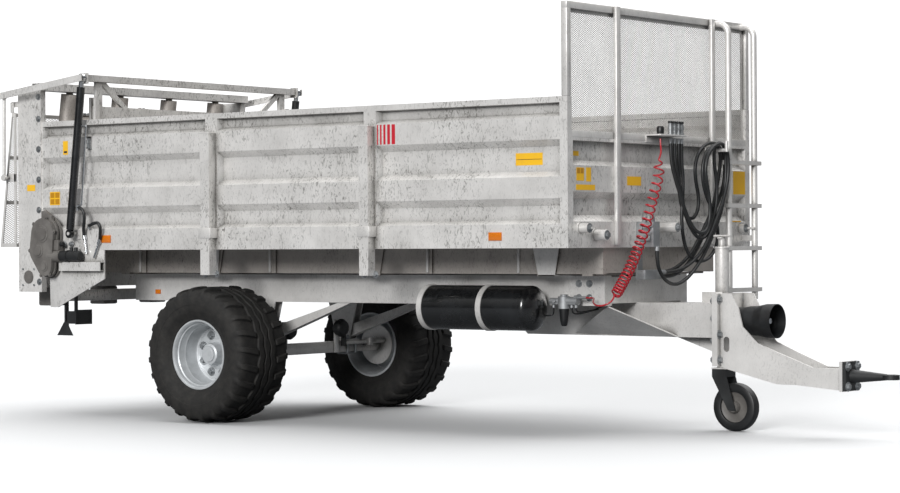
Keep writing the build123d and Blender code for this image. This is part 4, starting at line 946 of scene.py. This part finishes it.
def round_hull(circles, wider=0.0):
    """The outline that wraps circles of (x, z, radius) in mm, a little wider, as a closed list of points."""
    spots = sorted({(round(x + (r + wider) * cos(t), 3), round(z + (r + wider) * sin(t), 3))
                    for x, z, r in circles for t in (2 * pi * i / 48 for i in range(48))})
    halves = []
    for order in (spots, spots[::-1]):
        line = []
        for spot in order:
            while len(line) > 1 and ((line[-1][0] - line[-2][0]) * (spot[1] - line[-2][1])
                                     - (line[-1][1] - line[-2][1]) * (spot[0] - line[-2][0])) <= 0:
                line.pop()
            line.append(spot)
        halves.append(line[:-1])
    return halves[0] + halves[1]


def gearbox():
    y0, y1 = -(BODY_HALF + 8), -(BODY_HALF + 90)
    middle = (y0 + y1) / 2
    bm = bmesh.new()
    plate_into(bm, round_hull(GEAR_BOSSES), "y", (y0, y1), 7)
    plate_into(bm, round_hull(GEAR_BOSSES, 16), "y", (y0, y0 - 14), 2)
    plate_into(bm, round_hull(GEAR_BOSSES, 10), "y", (middle - 7, middle + 7), 2)
    for x, z, r in GEAR_BOSSES:
        boss = [(-2, 0), (-2, r * 0.58), (4, r * 0.55), (6, r * 0.42), (11, r * 0.4), (11, 0)]
        turned_into(bm, (x, y1, z), (x, y1 - 10, z), boss, 40)
    plate_into(bm, GEAR_EAR, "y", (y0 - 50, y0 - 20), 3)
    box_into(bm, (-4470, -4372), (y1 + 18, y0 - 10), (MOTOR_Z + 40, MOTOR_Z + 116), 6)
    bar_into(bm, (-4470, MOTOR_REAR), middle, MOTOR_Z, MOTOR_R + 6, 3, 36)
    solid(bm, "gear_case", cast_iron, "conveyor_gearbox", slot="dark_cast")
    bm = bmesh.new()
    turned_into(bm, (MOTOR_REAR, middle, MOTOR_Z), (-4168, middle, MOTOR_Z), MOTOR, 36)
    bar_into(bm, (-4372, -4338), middle, MOTOR_Z + 85, 15)
    for x in (-4260, -4215):
        bar_into(bm, x, middle, (MOTOR_Z + 20, MOTOR_Z + 62), 14)
    solid(bm, "conveyor_motor", rough_black, slot="black_paint")
    ring = [((x, y1 + 6.5, z), (0, -1, 0)) for x, z in round_hull(GEAR_BOSSES, 4)[::9]]
    bolts("gear_case_bolts", ring, 15, 7, 2, finish=cast_iron, slot="dark_cast")


def tensioners():
    bm, nuts = bmesh.new(), []
    for y, z, length, radius, spindle in TENSIONERS:
        tube = [(0, 0), (0, radius + 6), (7, radius + 6), (8, radius), (length - 2, radius), (length, radius - 3),
                (length, 0)]
        turned_into(bm, (0.3, y, z), (length, y, z), tube, 32)
        bar_into(bm, (length, length + spindle), y, z, 9, 1)
        nuts.append(((length - 1, y, z), (1, 0, 0)))
    solid(bm, "tensioner_tubes", section_zinc, "chain_tensioners")
    bolts("tensioner_nuts", nuts, 30, 15, 3)


gearbox()
tensioners()


# ---- beaters and their gear cases -----------------------------------------------------------------
# Four leaning tubes with flat flight sectors welded in a spiral, each with a bolted knife, over
# a flinging disc with three vanes. Bevel cases under the gear beam turn them. Scoured zinc.
PLATE_TOP, GEAR_TOP, BEATER_TOP_X, BEATER_LEAN = 2346, 1076, -4640, 7.6
BEATER_Y = (-785, -262, 262, 785)
BEATER_TUBE_R, FLIGHT_R, KNIFE_R, DISC_R = 62, 190, 215, 205
FLIGHT_START, FLIGHT_SECTORS, SECTOR_TURN = 230, 14, 58


def beater_axis(z):
    """Where the beaters' axes are along x at a height."""
    return BEATER_TOP_X - (PLATE_TOP - z) * sin(radians(BEATER_LEAN)) / cos(radians(BEATER_LEAN))


def blade_into(bm, corners, low, high, turn):
    """A flat blade between two heights, moved by a matrix in the beater's own frame, in mm."""
    rings = [[bm.verts.new(turn @ Vector((x, y, z))) for x, y in corners] for z in (low, high)]
    for ring in rings:
        bm.faces.new(ring)
    for i in range(len(corners)):
        bm.faces.new((rings[0][i - 1], rings[0][i], rings[1][i], rings[1][i - 1]))


def beater(number, y, hand):
    foot = Vector((beater_axis(GEAR_TOP + 14), y, GEAR_TOP + 14))
    head = Vector((beater_axis(PLATE_TOP - 14), y, PLATE_TOP - 14))
    up = (head - foot).normalized()
    length = (head - foot).length
    side = Vector((0, 1, 0))
    frame_turn = Matrix((side, up.cross(side), up)).transposed().to_4x4()
    frame_turn.translation = foot
    to_metres = Matrix.Translation(mm(0, 0, 0)) @ Matrix.Scale(0.001, 4) @ frame_turn
    bm, nuts = bmesh.new(), []
    r, end = BEATER_TUBE_R, 40 + length
    turned_into(bm, foot - up * 40, head, [
        (0, 0), (0, 25), (40, 25), (40, r - 1), (41, r), (54, r), (54, DISC_R - 1), (55, DISC_R), (61, DISC_R),
        (62, DISC_R - 1), (62, r), (end - 1, r), (end, r - 1), (end, 25), (end + 40, 25), (end + 40, 0)], 48)
    vane = [(r - 4, 22), (DISC_R - 6, 22), (DISC_R - 6, 108), (DISC_R - 88, 190), (r - 4, 190)]
    for turn in (0, 120, 240):
        blade_into(bm, vane, -4, 4,
                   to_metres @ Matrix.Rotation(radians(turn), 4, "Z") @ Matrix.Rotation(pi / 2, 4, "X"))
    rise = (length - FLIGHT_START - 80) / FLIGHT_SECTORS
    pitch = atan2(rise, radians(SECTOR_TURN) * (r + FLIGHT_R) / 2)
    rim = [(FLIGHT_R * cos(t), FLIGHT_R * sin(t)) for t in (radians(26) * (i / 4 - 1) for i in range(9))]
    flight = [(r - 6, -46)] + rim + [(r - 6, 46)]
    knife = [(FLIGHT_R - 60, hand * 44), (KNIFE_R - 10, hand * 44), (KNIFE_R, hand * 62), (KNIFE_R - 4, hand * 74),
             (FLIGHT_R - 60, hand * 74)][::hand]
    for i in range(FLIGHT_SECTORS):
        turn = (to_metres @ Matrix.Translation((0, 0, FLIGHT_START + (i + 0.5) * rise))
                @ Matrix.Rotation(radians(hand * SECTOR_TURN * i), 4, "Z") @ Matrix.Rotation(hand * pitch, 4, "X"))
        blade_into(bm, flight, 0, 6, turn)
        blade_into(bm, knife, 6, 16, turn)
        for reach in (FLIGHT_R - 42, FLIGHT_R - 14):
            spot = turn @ Vector((reach, hand * 59, 16)) - mm(0, 0, 0)
            nuts.append((tuple(spot * 1000), tuple((turn.to_3x3() @ Vector((0, 0, 1))).normalized())))
    name = f"beater_{number}"
    solid(bm, "scoured_" + name, dull_zinc, name, body=name)
    bolts(f"knife_bolts_{number}", nuts, 16, 7, 1.5, name)


def beater_gears():
    top = GEAR_TOP - 160
    x, z = beater_axis(top), top - 70
    bm = bmesh.new()
    for y in BEATER_Y:
        box_into(bm, (x - 75, x + 75), (y - 75, y + 75), (top - 136, top - 0.5), 12)
        bar_into(bm, (x - 84, x - 74), y, z, 52, 3, 36)
    for y0, y1 in zip(BEATER_Y, BEATER_Y[1:]):
        bar_into(bm, x, (y0 + 75, y1 - 75), z, 20)
    for y in BEATER_Y[1:3]:
        for s in (-1, 1):
            bar_into(bm, x, (y + s * 70, y + s * 87), z, 44, 2, 36)
    solid(bm, "bevel_gear_cases", cast_iron, slot="dark_cast")


for number, y in enumerate(BEATER_Y, 1):
    beater(number, y, 1 if number % 2 else -1)
beater_gears()


# ---- rear end plates, wall fittings and bolts -------------------------------------------------------
# Flat end plates tied by a square tube carry the rear lamps. Pressed collars and caps finish
# the wall posts, and rows of bolts hold the adapter, the corner posts and the flanges.
END_PLATE = ((-4543, 1188.7), (-3980, 1188.7), (-3980, 984), (-4454, 778), (-4530, 778))
CHANNEL = ((0, 1104), (-40, 1104), (-40, 1040), (0, 1040), (0, 1046), (-34, 1046), (-34, 1098), (0, 1098))
WALL_POSTS = ((-2989, -2905), (-1590, -1514))      # limits along x
# Collar, cap and foot of a wall post: how much wider, how far out, limits in height, bevel.
POST_FITTINGS = ((14, 76, (1266, 1336), 4), (3, 72, (1978, 1986), 2), (26, 6, (1016, 1030), 2))


def rear_plates():
    bm = bmesh.new()
    for s in (-1, 1):
        plate_into(bm, END_PLATE, "y", (s * (BODY_HALF - 12), s * BODY_HALF), 1.5)
    box_into(bm, (-4500, -4420), (-BODY_HALF + 12, BODY_HALF - 12), (820, 900), 5)
    plate_into(bm, [(out - BODY_HALF, z) for out, z in CHANNEL][::-1], "x", (-4400, -3984))
    solid(bm, "rear_end_plates", wall_zinc, "rear_side_plates")
    bm = bmesh.new()
    for s in (-1, 1):
        for x0, x1 in WALL_POSTS:
            for wider, out, height, bevel in POST_FITTINGS:
                box_into(bm, (x0 - wider, x1 + wider), (s * (BODY_HALF + 0.3), s * (BODY_HALF + out)), height, bevel)
    solid(bm, "post_collars_and_caps", section_zinc)


def wall_bolts():
    places, neck = [], []
    for s in (-1, 1):
        spots = [(-4636, BODY_HALF + 8, z) for z in (960, 1110, 1480, 1700, 1920, 2140, 2300)]
        spots += [(x, BODY_HALF, 1030 + (x + 4543) * 0.1) for x in (-4480, -4080)]
        spots += [(x, BODY_HALF + 6, 1023) for x in (-2998, -2896, -1600, -1504)]
        spots += [(x, RAIL_OUT, z) for x in (-330, -250) for z in (870, 960)]
        places += [((x, s * y, z), (0, s, 0)) for x, y, z in spots]
        neck += [((505, s * 160, z), (1, 0, 0)) for z in (480, 640, 860)]
    bolts("wall_and_post_bolts", places)
    flange = [((465, s * 160, z), (-1, 0, 0)) for s in (-1, 1) for z in (480, 600, 740, 850)]
    flange += [((1352, s * 62, 394 + t * 62), (1, 0, 0)) for s in (-1, 1) for t in (-1, 1)]
    bolts("drawbar_bolts", flange, 30, 14, 4)
    bolts("neck_bolts", neck, 30, 14, 4)


rear_plates()
wall_bolts()


# ---- ribs and struts along the trough ---------------------------------------------------------------
# Folded galvanised ribs are welded to the outside of the floor trough on both sides. Tapered
# plates stand on the chassis rails and carry the sill of the load box.
TROUGH_HALF, TROUGH_Z = 664, (1030, 1186)
TROUGH_RIBS = (-4041, -2793, -1413, -676)
STRUTS = (((-551, -353), (-512, -385)), ((-3297, -3257), (-3292, -3268)))    # top and foot along x
STRUT_Z = (1012, 1188)


def trough_stiffeners():
    bm = bmesh.new()
    for s in (-1, 1):
        for x in TROUGH_RIBS:
            box_into(bm, (x - 9, x + 9), (s * TROUGH_HALF, s * (TROUGH_HALF + 12)), TROUGH_Z, 2)
        for top, foot in STRUTS:
            outline = [(foot[0], STRUT_Z[0]), (foot[1], STRUT_Z[0]), (top[1], STRUT_Z[1]), (top[0], STRUT_Z[1])]
            plate_into(bm, outline, "y", (s * (TROUGH_HALF + 16), s * (TROUGH_HALF + 22)))
            box_into(bm, foot, (s * 430, s * (TROUGH_HALF + 22)), (STRUT_Z[0], STRUT_Z[0] + 6))
    solid(bm, "trough_ribs_and_struts", section_zinc)


trough_stiffeners()


# ---- pipes and studs at the rear -----------------------------------------------------------------
# A bent steel pipe runs up each lift cylinder, and two plated pipes carry on from the hoses at
# the gearbox. Studs hold the wall there, and a cast disc covers a bearing in the rear plate.
PIPE_R = 6
CYLINDER_PIPE = ((-4190, 1503), (-4133, 1509), (-4083, 2068), (-4132, 2074))
REAR_PIPES = (((-4161, -1114, 1293), (-4139, -1114, 1164)), ((-4004, -1114, 1265), (-4063, -1114, 1133)))
STUDS = ((-4374, 1232), (-4298, 1232))
BEARING_X, BEARING_Z, BEARING_R = -4746, 995, 48


def wall_rod(bm, x, z, near, far, radius):
    """A round bar straight out of the right wall, between two distances from its face."""
    bar_into(bm, x, (-BODY_HALF - near, -BODY_HALF - far), z, radius)


def rear_pipes():
    for s, side in ((1, "left"), (-1, "right")):
        bm = bmesh.new()
        for a, b in zip(CYLINDER_PIPE, CYLINDER_PIPE[1:]):
            rod_into(bm, (a[0], s * PIN_Y, a[1]), (b[0], s * PIN_Y, b[1]), PIPE_R)
        solid(bm, "cylinder_pipe_" + side, chrome, body="cylinder_barrel_" + side, slot=None)
    bm = bmesh.new()
    for a, b in REAR_PIPES:
        rod_into(bm, a, b, PIPE_R + 2)
        rod_into(bm, a, [p + 0.25 * (q - p) for p, q in zip(a, b)], HOSE_R + 2)
    solid(bm, "rear_pipes", chrome, slot="bright_steel")
    bm = bmesh.new()
    for x, z in STUDS:
        wall_rod(bm, x, z, 0, 30, 13)
        wall_rod(bm, x, z, 6, 18, 20)
    for x in (-BEARING_R - 10, BEARING_R + 10):
        for z in (-BEARING_R - 10, BEARING_R + 10):
            wall_rod(bm, BEARING_X + x, BEARING_Z + z, 8, 16, 8)
    solid(bm, "rear_studs", bolt_zinc, slot="bright_steel")
    bm = bmesh.new()
    wall_rod(bm, BEARING_X, BEARING_Z, 8, 14, BEARING_R)
    solid(bm, "bearing_disc", cast_iron, slot="dark_cast")


rear_pipes()


# ---- stripes, labels and lamps -----------------------------------------------------------------------
# Vinyl stickers on the zinc, all left blank: yellow panels with ochre and dark fields, and five red
# stripes that widen forwards. Amber reflectors and the rear lamps' lenses are moulded acrylic.
vinyl = {name: painted(name + "_vinyl", code, worn, 0.35, grain=6, bump=0.05) for name, code, worn in (
    ("yellow", "#E6B31E", "#D9A62A"), ("red", "#B8182A", "#A8202E"), ("ochre", "#B07C10", "#A87414"),
    ("dark", "#202224", "#303234"))}


def acrylic(name, code):
    """Clear-coated acrylic over a prismatic back: small bright and dark cells of about 4 mm."""
    material, tree, surface = finish_of(name, Roughness=0.15, Coat_Weight=0.6)
    place = grow(tree, "ShaderNodeTexCoord").outputs["Object"]
    cells = grow(tree, "ShaderNodeTexVoronoi", {"Vector": place, "Scale": 250}).outputs["Distance"]
    base = linear(code)
    feed(tree, surface, {"Base Color": two_tone(tree, cells, base, [c * 0.55 for c in base[:3]] + [1]),
                         "Normal": relief(tree, cells, 0.4, 0.001)})
    return material


amber, red_lens = acrylic("amber_acrylic", "#E07A12"), acrylic("red_acrylic", "#A80E16")
SIDE, PRESSED = -BODY_HALF, -BODY_HALF + 40
# Each finish's stickers: the face it is on ("y" a side wall, "x" the front), the face's place, then
# low and high limits along the face and in height, all in mm. The red ones are the stripes.
STICKERS = {
    "yellow": (
        ("y", SIDE - 8, (-4758, -4674), (1619, 1664)), ("y", SIDE, (-4391, -4341), (1874, 1972)),
        ("y", SIDE, (-4529, -4426), (1514, 1609)), ("y", PRESSED, (-417, -213), (1702, 1778)),
        ("x", -40, (-1024, -916), (1756, 1786)), ("x", 0, (-1000, -917), (1602, 1683)),
        ("x", 0, (-894, -840), (1598, 1685)), ("x", 0, (-1005, -796), (1545, 1579)),
        ("x", 0, (-433, -271), (1581, 1638)), ("x", 0, (874, 1031), (1540, 1695)),
        ("x", 0, (844, 975), (1353, 1362))),
    "red": tuple(("y", SIDE, (x, x + width), (1862, 1990))
                 for x, width in ((-1491, 9), (-1466, 13), (-1438, 17), (-1406, 22), (-1370, 28))),
    "ochre": (
        ("y", SIDE - 0.5, (-4523, -4482), (1566, 1603)), ("y", SIDE - 0.5, (-4473, -4432), (1566, 1603)),
        ("y", SIDE - 0.5, (-4523, -4482), (1520, 1557)), ("y", SIDE - 0.5, (-4473, -4432), (1520, 1557)),
        ("x", 0.5, (-994, -962), (1647, 1679)), ("x", 0.5, (-955, -923), (1647, 1679))),
    "dark": (("y", SIDE - 0.5, (-4382, -4350), (1886, 1900)), ("y", PRESSED - 0.5, (-411, -219), (1737, 1740))),
}
SIGN_Z, LAMP_Z = (1240, 1293), (668, 742)
REFLECTORS = (("y", SIDE, (-4002, -3913), SIGN_Z), ("y", SIDE, (-598, -498), (1237, 1289)),
              ("y", -RAIL_OUT, (-4059, -4009), (866, 898)), ("y", -SIDE, (-4002, -3913), SIGN_Z),
              ("y", -SIDE, (-598, -498), (1237, 1289)))


def sticker_into(bm, face, level, across, height, thick=0.7, bevel=0.0):
    """A flat panel just clear of the face it is on."""
    out = 1 if level > 0 or face == "x" else -1
    span = (level + 0.15 * out, level + (0.15 + thick) * out)
    box_into(bm, across if face == "y" else span, span if face == "y" else across, height, bevel)


def stickers_and_lamps():
    for shade, panels in STICKERS.items():
        bm = bmesh.new()
        for panel in panels:
            sticker_into(bm, *panel)
        solid(bm, shade + "_stickers", vinyl[shade])
    bm = bmesh.new()
    for panel in REFLECTORS:
        sticker_into(bm, *panel, 8, 2)
    solid(bm, "amber_reflectors", amber, slot="black_plastic")
    bm = bmesh.new()
    for s in (-1, 1):
        box_into(bm, (-4386, -4381.5), (s * (BODY_HALF - 172), s * (BODY_HALF - 28)), LAMP_Z, 2)
    solid(bm, "rear_lamp_lenses", red_lens, slot="black_plastic")


stickers_and_lamps()
